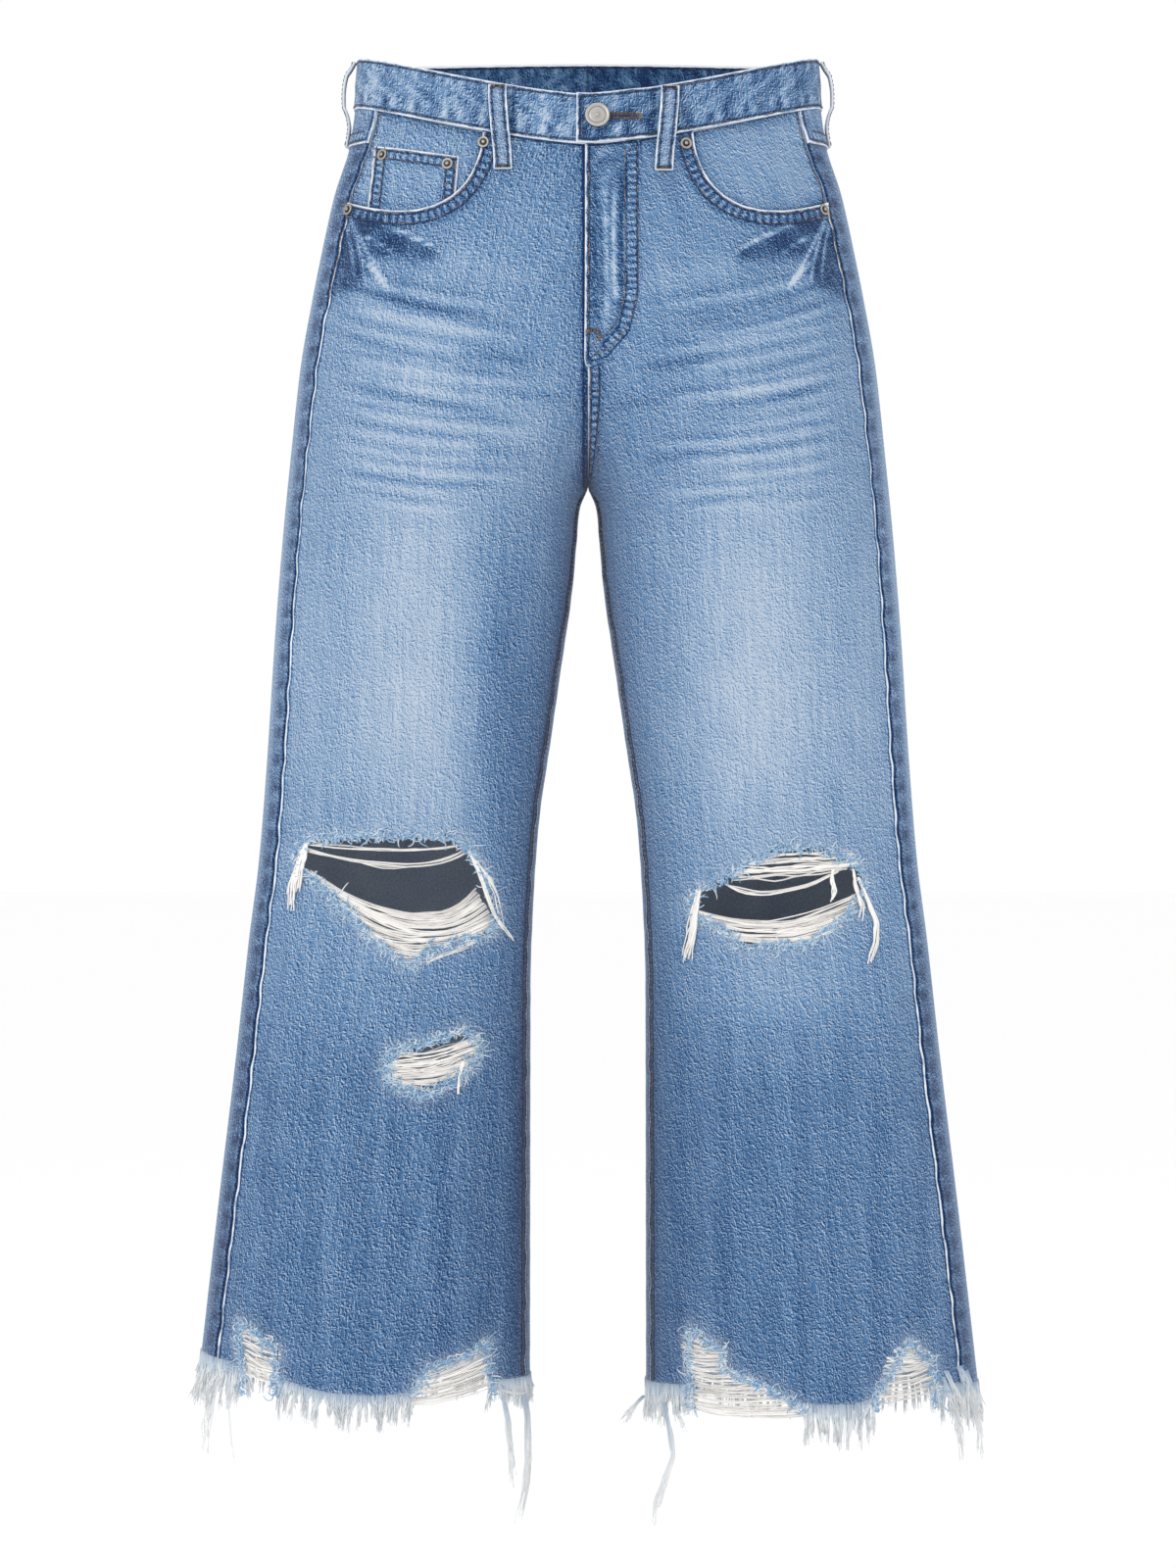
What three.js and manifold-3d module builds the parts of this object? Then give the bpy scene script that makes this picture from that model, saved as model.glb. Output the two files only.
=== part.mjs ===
// Ripped wide-leg jeans, filled out as worn but with nobody in them. Millimetres, +Z up, front towards -Y.
// The origin is the middle of the waist opening, level with the middle of the waistband at the side.
// The wearer's left is +X. Each half is drawn on the +X side and mirrored for the right.
import * as THREE from "three";
import { mergeVertices } from "three/addons/utils/BufferGeometryUtils.js";
import Module from "manifold-3d";

const wasm = await Module();
wasm.setup();

// ---------------------------------------------------------------- driving dimensions
const CLOTH = 1.4; // thickness of one layer of denim
const GAP = 0.3; // clearance between neighbouring pieces
const ROUNDNESS = 2.2; // exponent of the oval sections: 2 is an ellipse
const CROTCH_Z = -289; // lowest point between the legs
const BAND_HEIGHT = 36;
const BAND_THICKNESS = 2.6;
const BAND_PROUD = 1.6; // how far the waistband stands out from the panels
const TOP = { front: -17, side: 16, back: 24 }; // height of the waistband's top edge
const WAIST_HALF_WIDTH = 165;
const YOKE = { side: -47, centre: -98 }; // height of the yoke seam
// Heights of the worn hems at their inner and outer ends, and how far out those ends lie.
const HEM = {
  left: { inner: -932, outer: -932 },
  right: { inner: -928, outer: -912 },
};
const HEM_X = { inner: 41, outer: 278 };
const FRINGE = { reach: 20, thickness: 2 };
// The waistband's overlap: the left end, the right end under it, and the left's ramp up over it.
const TAB = { end: -8, under: 25, rampFrom: 46, rampTo: 28, lift: 3.0 };
const BUTTON = { x: 6.5, z: -34, eye: 3.6, slitEnd: 33, slitHalf: 1 };
const LOOP = { width: 13, thickness: 1.8, below: 26 };
// A belt loop's distance from the form at shares of its height, from its lower tack to its upper.
const LOOP_STAND = [
  [0, 1.5], [0.2, 1.9], [0.36, 4.6], [0.475, 7.8], [0.656, 8.6], [0.82, 7.6], [0.926, 4.2], [1, 2],
];
// How far under the front panels' face each hidden layer starts and ends, and how thick a patch is.
const UNDER = { coin: [1.75, 2.75], facing: [3.1, 4.3], tape: [1.8, 2.5], shield: [2.9, 4.1] };
const PATCH_THICKNESS = 1.3;
// Columns of the grids, from seam to seam, and the heights at which a top or bottom edge is found.
const FRONT_COLUMNS = 12;
const BACK_COLUMNS = 14;
const BAND_COLUMNS = 26;
const BAND_LEVEL = -30;
const FRONT_TOP_LEVEL = -45;
const BACK_TOP_LEVEL = -70;
const HEM_LEVEL = -930;

// Section sizes down the garment, each as [height, value].
const OUTER = [
  [24, 163], [-20, 166], [-45, 170], [-80, 181], [-120, 190], [-160, 198], [-200, 205],
  [-260, 212], [-320, 218], [-400, 224], [-480, 229], [-555, 235], [-610, 242], [-700, 252],
  [-800, 264], [-940, 280],
];
const INNER = [
  [24, -163], [-20, -166], [-45, -170], [-80, -181], [-120, -172], [-150, -148], [-200, -84],
  [-230, -49], [-260, -19], [-278, -5.5], [-289, 0], [-304, 6], [-332, 8.5], [-360, 11],
  [-416, 19], [-472, 27], [-528, 35], [-584, 39], [-640, 41], [-940, 41.5],
];
const FRONT = [
  [24, 70], [-17, 75], [-53, 82], [-120, 96], [-200, 101], [-289, 97], [-360, 91], [-450, 83],
  [-560, 76], [-700, 77], [-940, 85],
];
const BACK = [
  [24, 79], [-12, 84], [-60, 97], [-120, 113], [-200, 122], [-260, 113], [-289, 106],
  [-330, 100], [-400, 94], [-480, 86], [-560, 80], [-700, 85], [-940, 95],
];
const WIDEST = [[24, 2], [-200, 6], [-289, 14], [-400, 6], [-560, 2], [-940, 4]];
const OUTSEAM_INBOARD = [[24, 18], [-25, 17], [-90, 14], [-600, 14], [-940, 13.5]];
const INSEAM_ANGLE = [[-289, 0], [-300, 0.14], [-360, 0.17], [-430, 0.21], [-940, 0.23]];

// A monotone cubic through the knots, which are given from high to low.
function profile(knots) {
  const k = [...knots].reverse();
  const step = k.slice(1).map((q, i) => (q[1] - k[i][1]) / (q[0] - k[i][0]));
  const slope = k.map((_, i) => {
    if (i === 0) return step[0];
    if (i === k.length - 1) return step[i - 1];
    return step[i - 1] * step[i] <= 0 ? 0 : (2 * step[i - 1] * step[i]) / (step[i - 1] + step[i]);
  });
  return (z) => {
    if (z <= k[0][0]) return k[0][1];
    if (z >= k[k.length - 1][0]) return k[k.length - 1][1];
    const i = k.findIndex((q) => q[0] > z) - 1;
    const w = k[i + 1][0] - k[i][0];
    const s = (z - k[i][0]) / w;
    const from = (1 + 2 * s) * (1 - s) * (1 - s) * k[i][1] + s * (1 - s) * (1 - s) * w * slope[i];
    const to = s * s * (3 - 2 * s) * k[i + 1][1] - s * s * (1 - s) * w * slope[i + 1];
    return from + to;
  };
}
const outer = profile(OUTER);
const inner = profile(INNER);
const front = profile(FRONT);
const back = profile(BACK);
const widest = profile(WIDEST);
const inboard = profile(OUTSEAM_INBOARD);
const inseamTurn = profile(INSEAM_ANGLE);

// ---------------------------------------------------------------- the form of one half
// The angle runs from the outer side (0) over the front (90 degrees) and the inner side to the back.
const power = (v, e) => Math.sign(v) * Math.abs(v) ** e;
function section(z) {
  const a = (outer(z) - inner(z)) / 2;
  const mid = widest(z);
  return { xc: outer(z) - a, a, yc: mid, front: front(z) + mid, back: back(z) - mid };
}
function at(z, angle) {
  const s = section(z);
  const c = Math.cos(angle);
  const n = Math.sin(angle);
  const depth = n >= 0 ? s.front : s.back;
  return new THREE.Vector3(
    s.xc + s.a * power(c, 2 / ROUNDNESS),
    s.yc - depth * power(n, 2 / ROUNDNESS),
    z,
  );
}
function normalAt(z, angle) {
  const s = section(z);
  const depth = Math.sin(angle) >= 0 ? s.front : s.back;
  const sharp = 2 - 2 / ROUNDNESS;
  const nx = power(Math.cos(angle), sharp) / s.a;
  const ny = -power(Math.sin(angle), sharp) / depth;
  const drift = at(z + 2, angle).sub(at(z - 2, angle)).divideScalar(4);
  return new THREE.Vector3(nx, ny, -(nx * drift.x + ny * drift.y)).normalize();
}
const seamAngle = (z) => {
  const s = section(z);
  return Math.acos(((outer(z) - inboard(z) - s.xc) / s.a) ** (ROUNDNESS / 2));
};
// Half the angle, about the inner side, over which a section lies past the centre plane.
const crossing = (z) => {
  const s = section(z);
  return Math.acos(Math.min(1, Math.max(0, s.xc / s.a)) ** (ROUNDNESS / 2));
};
const MARGIN = 0.1; // panels run this angle past the centre plane, where they are trimmed
function frontEnd(z) {
  if (z <= CROTCH_Z) return Math.PI - inseamTurn(z);
  return Math.min(Math.PI - crossing(z) + MARGIN, Math.PI);
}
function backStart(z) {
  if (z <= CROTCH_Z) return Math.PI - inseamTurn(z);
  return Math.max(Math.PI + crossing(z) - MARGIN, Math.PI);
}

// Angles between two limits that are evenly spaced along the cloth, less a seam gap at each end.
function spread(z, from, to, share) {
  const steps = 120;
  const angles = Array.from({ length: steps + 1 }, (_, i) => from + ((to - from) * i) / steps);
  const points = angles.map((angle) => at(z, angle));
  const run = [0];
  for (let i = 1; i <= steps; i++) run.push(run[i - 1] + points[i].distanceTo(points[i - 1]));
  const total = run[steps];
  const wanted = GAP / 2 + share * (total - GAP);
  const i = Math.min(steps - 1, Math.max(0, run.findIndex((r) => r > wanted) - 1));
  return angles[i] + ((angles[i + 1] - angles[i]) * (wanted - run[i])) / (run[i + 1] - run[i]);
}

// ---------------------------------------------------------------- solids
function solidOf(geometry) {
  const bare = geometry.index ? geometry.toNonIndexed() : geometry.clone();
  bare.deleteAttribute("normal");
  if (bare.getAttribute("uv")) bare.deleteAttribute("uv");
  const merged = mergeVertices(bare, 1e-4);
  return new wasm.Manifold(
    new wasm.Mesh({
      numProp: 3,
      vertProperties: merged.attributes.position.array,
      triVerts: new Uint32Array(merged.index.array),
    }),
  );
}
function geometryOf(solid) {
  const mesh = solid.getMesh();
  const geometry = new THREE.BufferGeometry();
  geometry.setAttribute("position", new THREE.BufferAttribute(mesh.vertProperties, 3));
  geometry.setIndex(new THREE.BufferAttribute(mesh.triVerts, 1));
  return geometry;
}
const mirrored = (solid) => solid.mirror([1, 0, 0]);

// A solid of an indexed mesh, turned inside out if its faces point in.
function solidFacingOut(positions, index) {
  const geometry = new THREE.BufferGeometry();
  geometry.setAttribute("position", new THREE.Float32BufferAttribute(positions, 3));
  geometry.setIndex(index);
  const made = solidOf(geometry);
  if (made.volume() > 0) return made;
  for (let i = 0; i < index.length; i += 3) {
    [index[i + 1], index[i + 2]] = [index[i + 2], index[i + 1]];
  }
  geometry.setIndex(index);
  return solidOf(geometry);
}

// A wall between two sheets of points. Both are arrays of rows, and closed joins each row's ends.
function wall(outside, inside, closed = false) {
  const rows = outside.length;
  const columns = outside[0].length;
  const positions = [...outside.flat(), ...inside.flat()].flatMap((p) => [p.x, p.y, p.z]);
  const index = [];
  const offset = rows * columns;
  const quad = (a, b, c, d) => index.push(a, b, c, a, c, d);
  const spans = closed ? columns : columns - 1;
  for (let j = 0; j + 1 < rows; j++) {
    for (let i = 0; i < spans; i++) {
      const a = j * columns + i;
      const b = j * columns + ((i + 1) % columns);
      quad(a, b, b + columns, a + columns);
      quad(offset + a, offset + a + columns, offset + b + columns, offset + b);
    }
  }
  for (let i = 0; i < spans; i++) {
    const b = (i + 1) % columns;
    const low = (rows - 1) * columns;
    quad(b, i, offset + i, offset + b);
    quad(low + i, low + b, offset + low + b, offset + low + i);
  }
  if (!closed) {
    for (let j = 0; j + 1 < rows; j++) {
      const a = j * columns;
      const e = a + columns - 1;
      quad(a, a + columns, offset + a + columns, offset + a);
      quad(e + columns, e, offset + e, offset + e + columns);
    }
  }
  return solidFacingOut(positions, index);
}
const moved = (z, angle, out) => at(z, angle).addScaledVector(normalAt(z, angle), out);

// A layer of cloth on the form: place(v, u) gives the height and angle of a point of its grid.
function layer(rows, columns, place, out, into, closed = false) {
  const sheet = (offset) =>
    rows.map((v) =>
      columns.map((u) => {
        const { z, angle } = place(v, u);
        return moved(z, angle, offset);
      }),
    );
  return wall(sheet(out), sheet(into), closed);
}
const even = (count) => Array.from({ length: count + 1 }, (_, i) => i / count);

// A cutter of an outline drawn from the front, in x and z, over the front or the back half.
function cutter(shape, behind = false) {
  const depth = 260;
  const geometry = new THREE.ExtrudeGeometry(shape, { depth, bevelEnabled: false, curveSegments: 14 });
  geometry.rotateX(Math.PI / 2);
  if (behind) geometry.translate(0, depth, 0);
  return solidOf(geometry);
}
const outline = (points) => new THREE.Shape(points.map(([x, z]) => new THREE.Vector2(x, z)));
const box = (x0, x1, y0, y1, z0, z1) =>
  solidOf(
    new THREE.BoxGeometry(x1 - x0, y1 - y0, z1 - z0).translate(
      (x0 + x1) / 2,
      (y0 + y1) / 2,
      (z0 + z1) / 2,
    ),
  );
const leftHalf = box(GAP / 2, 400, -300, 300, -1200, 200);

// ---------------------------------------------------------------- edges of the cut pieces
// The waistband's top edge: it dips in front and rises a little at the back.
function bandTop(x, behind) {
  const share = Math.min(1, Math.abs(x) / WAIST_HALF_WIDTH);
  if (behind) return TOP.side + (TOP.back - TOP.side) * (1 - share ** 2);
  return TOP.front + (TOP.side - TOP.front) * share ** 1.4;
}
const waistSeam = (x, behind) => bandTop(x, behind) - BAND_HEIGHT;
const yokeSeam = (x) => YOKE.centre + (YOKE.side - YOKE.centre) * Math.min(1, x / WAIST_HALF_WIDTH);
const hemLine = (x, hem) =>
  hem.inner + ((hem.outer - hem.inner) * (x - HEM_X.inner)) / (HEM_X.outer - HEM_X.inner);

// Heights of the rows of a panel's grid, as [at the side seam, at the centre]. Both panels use the
// same heights below their top rows, so that their edges meet all the way down.
const LEVELS = [
  [-120, -120], [-155, -155], [-190, -190], [-220, -220], [-245, -245], [-265, -265], [-280, -280],
  [-293, -293], [-312, -312], [-345, -345], [-400, -400], [-460, -460], [-525, -525], [-590, -590],
  [-655, -655], [-725, -725], [-795, -795], [-865, -865],
];
const FRONT_LEVELS = [[-47, -72], [-85, -95], ...LEVELS];
const BACK_LEVELS = [[-85, -110], ...LEVELS];
const between = ([side, centre], share) => centre + (side - centre) * share;

// The angle of a front panel, u of the way from the side seam to the centre or the inseam, and of
// a back panel, u of the way from the centre or the inseam to the side seam.
const panelAngle = (z, u) => spread(z, seamAngle(z), frontEnd(z), u);
const backAngle = (z, u) => spread(z, backStart(z), 2 * Math.PI + seamAngle(z), u);
function frontPlace(hem) {
  return (row, u) => {
    let z = row < FRONT_LEVELS.length + 1 && row > 0 ? between(FRONT_LEVELS[row - 1], 1 - u) : 0;
    if (row === 0) {
      z = waistSeam(at(FRONT_TOP_LEVEL, panelAngle(FRONT_TOP_LEVEL, u)).x, false) - GAP;
    } else if (row === FRONT_LEVELS.length + 1) {
      z = hemLine(at(HEM_LEVEL, panelAngle(HEM_LEVEL, u)).x, hem);
    }
    return { z, angle: panelAngle(z, u) };
  };
}
function backPlace(hem) {
  return (row, u) => {
    let z = row < BACK_LEVELS.length + 1 && row > 0 ? between(BACK_LEVELS[row - 1], u) : 0;
    if (row === 0) z = yokeSeam(Math.max(0, at(BACK_TOP_LEVEL, backAngle(BACK_TOP_LEVEL, u)).x));
    if (row === BACK_LEVELS.length + 1) z = hemLine(at(HEM_LEVEL, backAngle(HEM_LEVEL, u)).x, hem);
    return { z, angle: backAngle(z, u) };
  };
}
const rowsTo = (last) => Array.from({ length: last + 1 }, (_, i) => i);
const FRONT_ROWS = rowsTo(FRONT_LEVELS.length + 1);
const BACK_ROWS = rowsTo(BACK_LEVELS.length + 1);
const YOKE_TURN = 0.86; // the share of a yoke's width that lies behind, before it rounds the side
function yokePlace(v, u) {
  const low = yokeSeam(Math.max(0, at(BACK_TOP_LEVEL, backAngle(BACK_TOP_LEVEL, u)).x)) + GAP;
  const high = waistSeam(at(BAND_LEVEL, backAngle(BAND_LEVEL, u)).x, u < YOKE_TURN) - GAP;
  const z = high + (low - high) * v;
  return { z, angle: backAngle(z, u) };
}

// ---------------------------------------------------------------- pocket mouth, rips and worn hem
// The front pocket's mouth: from the waist seam down and out to the side seam.
const POCKET = { from: [73.5, -44], bend: [77, -88], sweep: [110, -114], to: [173, -88] };
function pocketMouth() {
  const shape = new THREE.Shape();
  shape.moveTo(POCKET.from[0], 40);
  shape.lineTo(...POCKET.from);
  shape.bezierCurveTo(...POCKET.bend, ...POCKET.sweep, ...POCKET.to);
  shape.lineTo(230, POCKET.to[1]);
  shape.lineTo(230, 40);
  return shape;
}
// The facing reaches past the mouth, under the front panel.
const facingOutline = outline([
  [58, 40], [58, -60], [66, -92], [86, -113], [112, -122], [146, -120], [230, -108], [230, 40],
]);
const COIN = outline([[91, -60], [152, -49], [158, -113], [95, -112]]);

// Rips, each drawn from the front with x measured outwards from the centre.
const KNEE_RIP_RIGHT = outline([
  [206, -550], [196, -540], [150, -537], [96, -539], [86, -545], [72, -566], [65, -590],
  [68, -605], [98, -612], [115, -618], [123, -628], [144, -614], [168, -591], [190, -567],
  [204, -558],
]);
const SHIN_RIP_RIGHT = outline([
  [141, -702], [136, -688], [105, -680], [88, -674], [76, -685], [82, -699], [102, -713],
  [115, -718], [134, -712],
]);
const KNEE_RIP_LEFT = outline([
  [73, -584], [78, -576], [104, -563], [130, -547], [162, -545], [190, -558], [194, -574],
  [180, -593], [154, -612], [110, -615], [93, -601], [76, -593],
]);
// Notches worn into the hems, open at the bottom.
const HEM_NOTCHES = {
  right: [
    [[243, -980], [243, -908], [245, -880], [219, -898], [221, -980]],
    [[121, -980], [121, -926], [111, -911], [78, -901], [71, -894], [67, -980]],
  ],
  left: [
    [[75, -980], [72, -905], [71, -885], [94, -899], [94, -912], [128, -925], [150, -938], [150, -980]],
    [[203, -980], [203, -928], [226, -893], [242, -908], [248, -980]],
  ],
};

// ---------------------------------------------------------------- cloth pieces of one half
function frontPanel(side) {
  const place = frontPlace(HEM[side]);
  let made = layer(FRONT_ROWS, even(FRONT_COLUMNS), place, 0, -CLOTH).intersect(leftHalf);
  const rips = side === "right" ? [KNEE_RIP_RIGHT, SHIN_RIP_RIGHT] : [KNEE_RIP_LEFT];
  const notches = HEM_NOTCHES[side].map(outline);
  for (const shape of [pocketMouth(), ...rips, ...notches]) made = made.subtract(cutter(shape));
  return made;
}
const backPanel = (side) =>
  layer(BACK_ROWS, even(BACK_COLUMNS), backPlace(HEM[side]), 0, -CLOTH).intersect(leftHalf);
const yoke = () => layer(even(3), even(BACK_COLUMNS), yokePlace, 0, -CLOTH).intersect(leftHalf);
const UPPER = rowsTo(6); // the rows that the front pockets and the fly reach

// A piece cut from a layer that lies behind the left or right front panel.
function underFront(shape, from, to) {
  return layer(UPPER, even(FRONT_COLUMNS), frontPlace(HEM.left), -from, -to)
    .intersect(leftHalf)
    .intersect(cutter(shape));
}
const facing = () => underFront(facingOutline, ...UNDER.facing);
const coinPocket = () => underFront(COIN, ...UNDER.coin);
const SHIELD = outline([[-5, 0], [38, 0], [38, -180], [20, -202], [-5, -206]]);
const flyShield = () => underFront(SHIELD, ...UNDER.shield);
const TAPE = outline([[8, 0], [34, 0], [34, -176], [22, -190], [8, -190]]);
const zipTape = () => underFront(TAPE, ...UNDER.tape);

const BACK_POCKET = outline([[34, -118], [146, -104], [152, -214], [98, -243], [42, -224]]);
const SEAT = rowsTo(7); // the rows that the back pockets reach
const backPocket = () =>
  layer(SEAT, even(BACK_COLUMNS), backPlace(HEM.left), GAP + PATCH_THICKNESS, GAP)
    .intersect(leftHalf)
    .intersect(cutter(BACK_POCKET, true));

// ---------------------------------------------------------------- waistband
// Half a waistband, from its front end round to the centre back. Angles here go over the front,
// so a front end past the centre plane simply has a larger angle.
function bandAngles(endX) {
  const start = Math.PI / 2 + Math.asin(power(-endX / section(BAND_LEVEL).a, ROUNDNESS / 2));
  const centreBack = -Math.PI / 2 + 0.0012; // half a gap short of it
  return even(BAND_COLUMNS).map((u) => spread(BAND_LEVEL, start, centreBack, u));
}
function waistband(endX, lift) {
  const angles = bandAngles(endX);
  const sheet = (out) =>
    even(2).map((v) =>
      angles.map((angle) => {
        const x = at(BAND_LEVEL, angle).x;
        const high = bandTop(x, angle < 0);
        return moved(high - v * BAND_HEIGHT, angle, out + lift(x, angle));
      }),
    );
  return wall(sheet(BAND_PROUD), sheet(BAND_PROUD - BAND_THICKNESS));
}
const tabLift = (x, angle) =>
  angle > 0 ? TAB.lift * (1 - THREE.MathUtils.smoothstep(x, TAB.rampTo, TAB.rampFrom)) : 0;

function waistbandLeft() {
  const { x, z, eye: radius, slitEnd, slitHalf } = BUTTON;
  const eye = new THREE.CylinderGeometry(radius, radius, 60, 16).translate(x, -80, z);
  const slit = box(x, slitEnd, -110, -60, z - slitHalf, z + slitHalf);
  return waistband(TAB.end, tabLift).subtract(solidOf(eye)).subtract(slit);
}

// ---------------------------------------------------------------- belt loops
// A strip that bows away from the band, tacked at the top edge and below the waist seam.
function beltLoop(angle, behind, lean) {
  const topX = at(BAND_LEVEL, angle).x;
  const high = bandTop(topX, behind) - 1;
  const low = waistSeam(topX, behind) - LOOP.below;
  const sheet = (extra) =>
    LOOP_STAND.map(([share, out]) => {
      const z = low + (high - low) * share;
      const turn = angle + lean * (0.5 - share);
      const centre = moved(z, turn, out + extra);
      const n = normalAt(z, turn);
      const across = new THREE.Vector3(-n.y, n.x, 0).normalize();
      return [-1, 1].map((s) => centre.clone().addScaledVector(across, (s * LOOP.width) / 2));
    });
  return wall(sheet(LOOP.thickness), sheet(0));
}

// ---------------------------------------------------------------- fringe and long threads
function fringe(side) {
  const hem = HEM[side];
  const columns = even(2 * (FRONT_COLUMNS + 1)).slice(0, -1);
  const place = (v, u) => {
    const angle = spread(HEM_LEVEL, 0, 2 * Math.PI, u);
    const foot = hemLine(at(HEM_LEVEL, angle).x, hem) - GAP;
    return { z: foot - v * FRINGE.reach, angle };
  };
  return layer(even(1), columns, place, 0, -FRINGE.thickness, true);
}
const STRAND_SIDES = 6;
// A hanging bunch of threads: a strand that starts on the front of the fringe at x and
// falls straight, wandering sideways through its [shift, height] points and thinning to its end.
function strand(x, falls, radius) {
  const top = falls[0][1];
  const root = moved(top, frontAngle(x, top), radius + 5 * GAP);
  const points = falls.map(([shift, z]) => [root.x + shift, root.y, z]);
  const rings = points.map(([x, y, z], i) => {
    const r = radius * (1 - (0.75 * i) / (points.length - 1));
    return Array.from({ length: STRAND_SIDES }, (_, k) => {
      const turn = (2 * k * Math.PI) / STRAND_SIDES;
      return new THREE.Vector3(x + r * Math.cos(turn), y + r * Math.sin(turn), z);
    });
  });
  const positions = rings.flat().flatMap((p) => [p.x, p.y, p.z]);
  const index = [];
  for (let j = 0; j + 1 < rings.length; j++) {
    for (let k = 0; k < STRAND_SIDES; k++) {
      const a = j * STRAND_SIDES + k;
      const b = j * STRAND_SIDES + ((k + 1) % STRAND_SIDES);
      index.push(a, a + STRAND_SIDES, b, b, a + STRAND_SIDES, b + STRAND_SIDES);
    }
  }
  const last = (rings.length - 1) * STRAND_SIDES;
  for (let k = 1; k < STRAND_SIDES - 1; k++) {
    index.push(0, k, k + 1, last, last + k + 1, last + k);
  }
  return solidFacingOut(positions, index);
}

// ---------------------------------------------------------------- metal
// A turned piece whose axis leaves the cloth along its normal, at a stated distance from it.
function turned(profilePoints, z, angle, out, mirror = 1) {
  const points = profilePoints.map(([r, h]) => new THREE.Vector2(r, h));
  const geometry = new THREE.LatheGeometry(points, 20);
  const n = normalAt(z, angle);
  const place = moved(z, angle, out);
  const turn = new THREE.Quaternion().setFromUnitVectors(new THREE.Vector3(0, 1, 0), n);
  geometry.applyQuaternion(turn).translate(place.x, place.y, place.z);
  const made = solidOf(geometry);
  return mirror < 0 ? mirrored(made) : made;
}
const RIVET = [[0, 0], [4.2, 0], [4.2, 0.5], [3.6, 1.0], [2.1, 1.0], [1.5, 1.6], [0, 1.9]];
const BUTTON_PROFILE = [
  [0, 0], [2.3, 0], [2.3, 3.6], [7.9, 3.9], [8.75, 4.6], [8.75, 5.6], [8.1, 6.2], [7.3, 5.9], [0, 6.4],
];
const TACK_HEIGHT = 1.1;
const TACK = [[0, 0], [4.6, 0], [4.6, 0.6], [3.8, TACK_HEIGHT], [0, TACK_HEIGHT]];

// The height and angle at which the form has a given x, on the front half.
function frontAngle(x, z) {
  const s = section(z);
  return Math.acos(power((x - s.xc) / s.a, ROUNDNESS / 2));
}
const rivetOn = (x, z, out, mirror) => turned(RIVET, z, frontAngle(x, z), out, mirror);

// ---------------------------------------------------------------- materials and the object
const denim = new THREE.MeshStandardMaterial({ color: 0x7c9cc6, roughness: 0.92, metalness: 0 });
const denimDark = new THREE.MeshStandardMaterial({ color: 0x4f74a8, roughness: 0.92, metalness: 0 });
const cotton = new THREE.MeshStandardMaterial({ color: 0xe6e4e4, roughness: 0.95, metalness: 0 });
const nickel = new THREE.MeshStandardMaterial({ color: 0xb9b6ae, roughness: 0.42, metalness: 1 });
const copper = new THREE.MeshStandardMaterial({ color: 0xa79684, roughness: 0.45, metalness: 1 });

const jeans = new THREE.Group();
function add(name, solid, material) {
  const mesh = new THREE.Mesh(geometryOf(solid), material);
  mesh.name = name;
  jeans.add(mesh);
}
add("front_left", frontPanel("left"), denim);
add("front_right", mirrored(frontPanel("right")), denim);
add("back_left", backPanel("left"), denim);
add("back_right", mirrored(backPanel("right")), denim);
add("yoke_left", yoke(), denim);
add("yoke_right", mirrored(yoke()), denim);
add("pocket_facing_left", facing(), denim);
add("pocket_facing_right", mirrored(facing()), denim);
add("coin_pocket", mirrored(coinPocket()), denim);
add("fly_shield", flyShield(), denimDark);
add("zip", zipTape(), nickel);
add("back_pocket_left", backPocket(), denim);
add("back_pocket_right", mirrored(backPocket()), denim);
add("waistband_left", waistbandLeft(), denim);
add("waistband_right", mirrored(waistband(-TAB.under, () => 0)), denim);

const LEAN = 0.05; // how far a front loop's lower end swings outwards, as an angle
add("belt_loop_front_left", beltLoop(frontAngle(54, BAND_LEVEL), false, LEAN), denim);
add("belt_loop_front_right", mirrored(beltLoop(frontAngle(60, BAND_LEVEL), false, LEAN)), denim);
add("belt_loop_side_left", beltLoop(0, false, 0), denim);
add("belt_loop_side_right", mirrored(beltLoop(0, false, 0)), denim);
add("belt_loop_back", beltLoop(-Math.PI / 2, true, 0), denim);

add("rivet_waist_left", rivetOn(68.5, -52, GAP, 1), copper);
add("rivet_waist_right", rivetOn(73, -51, GAP, -1), copper);
add("rivet_side_left", rivetOn(166, -95, GAP, 1), copper);
add("rivet_side_right", rivetOn(168, -95, GAP, -1), copper);
const ON_COIN = GAP - UNDER.coin[0];
add("rivet_coin_inner", rivetOn(99, -65, ON_COIN, -1), copper);
add("rivet_coin_outer", rivetOn(146, -56, ON_COIN, -1), copper);

const buttonAngle = frontAngle(BUTTON.x, BUTTON.z);
add("button", turned(BUTTON_PROFILE, BUTTON.z, buttonAngle, BAND_PROUD + GAP), nickel);
const behindBand = BAND_PROUD - BAND_THICKNESS - GAP - TACK_HEIGHT;
add("button_tack", turned(TACK, BUTTON.z, buttonAngle, behindBand), nickel);

add("hem_fringe_left", fringe("left"), cotton);
add("hem_fringe_right", mirrored(fringe("right")), cotton);
// Long bunches of threads left at the ends of the seams.
const inseamLeft = strand(57, [[0, -952], [5, -978], [0, -998], [-7, -1028]], 2.6);
const inseamRight = strand(48, [[0, -938], [-4, -975], [-4, -1000], [3, -1028]], 2.6);
const outseamLeft = strand(270, [[0, -942], [3, -960], [8, -984]], 2.4);
const outseamRight = strand(268, [[0, -918], [3, -948], [7, -980]], 2.4);
add("threads_inseam_left", inseamLeft, cotton);
add("threads_inseam_right", mirrored(inseamRight), cotton);
add("threads_outseam_left", outseamLeft, cotton);
add("threads_outseam_right", mirrored(outseamRight), cotton);

export default jeans;
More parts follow.
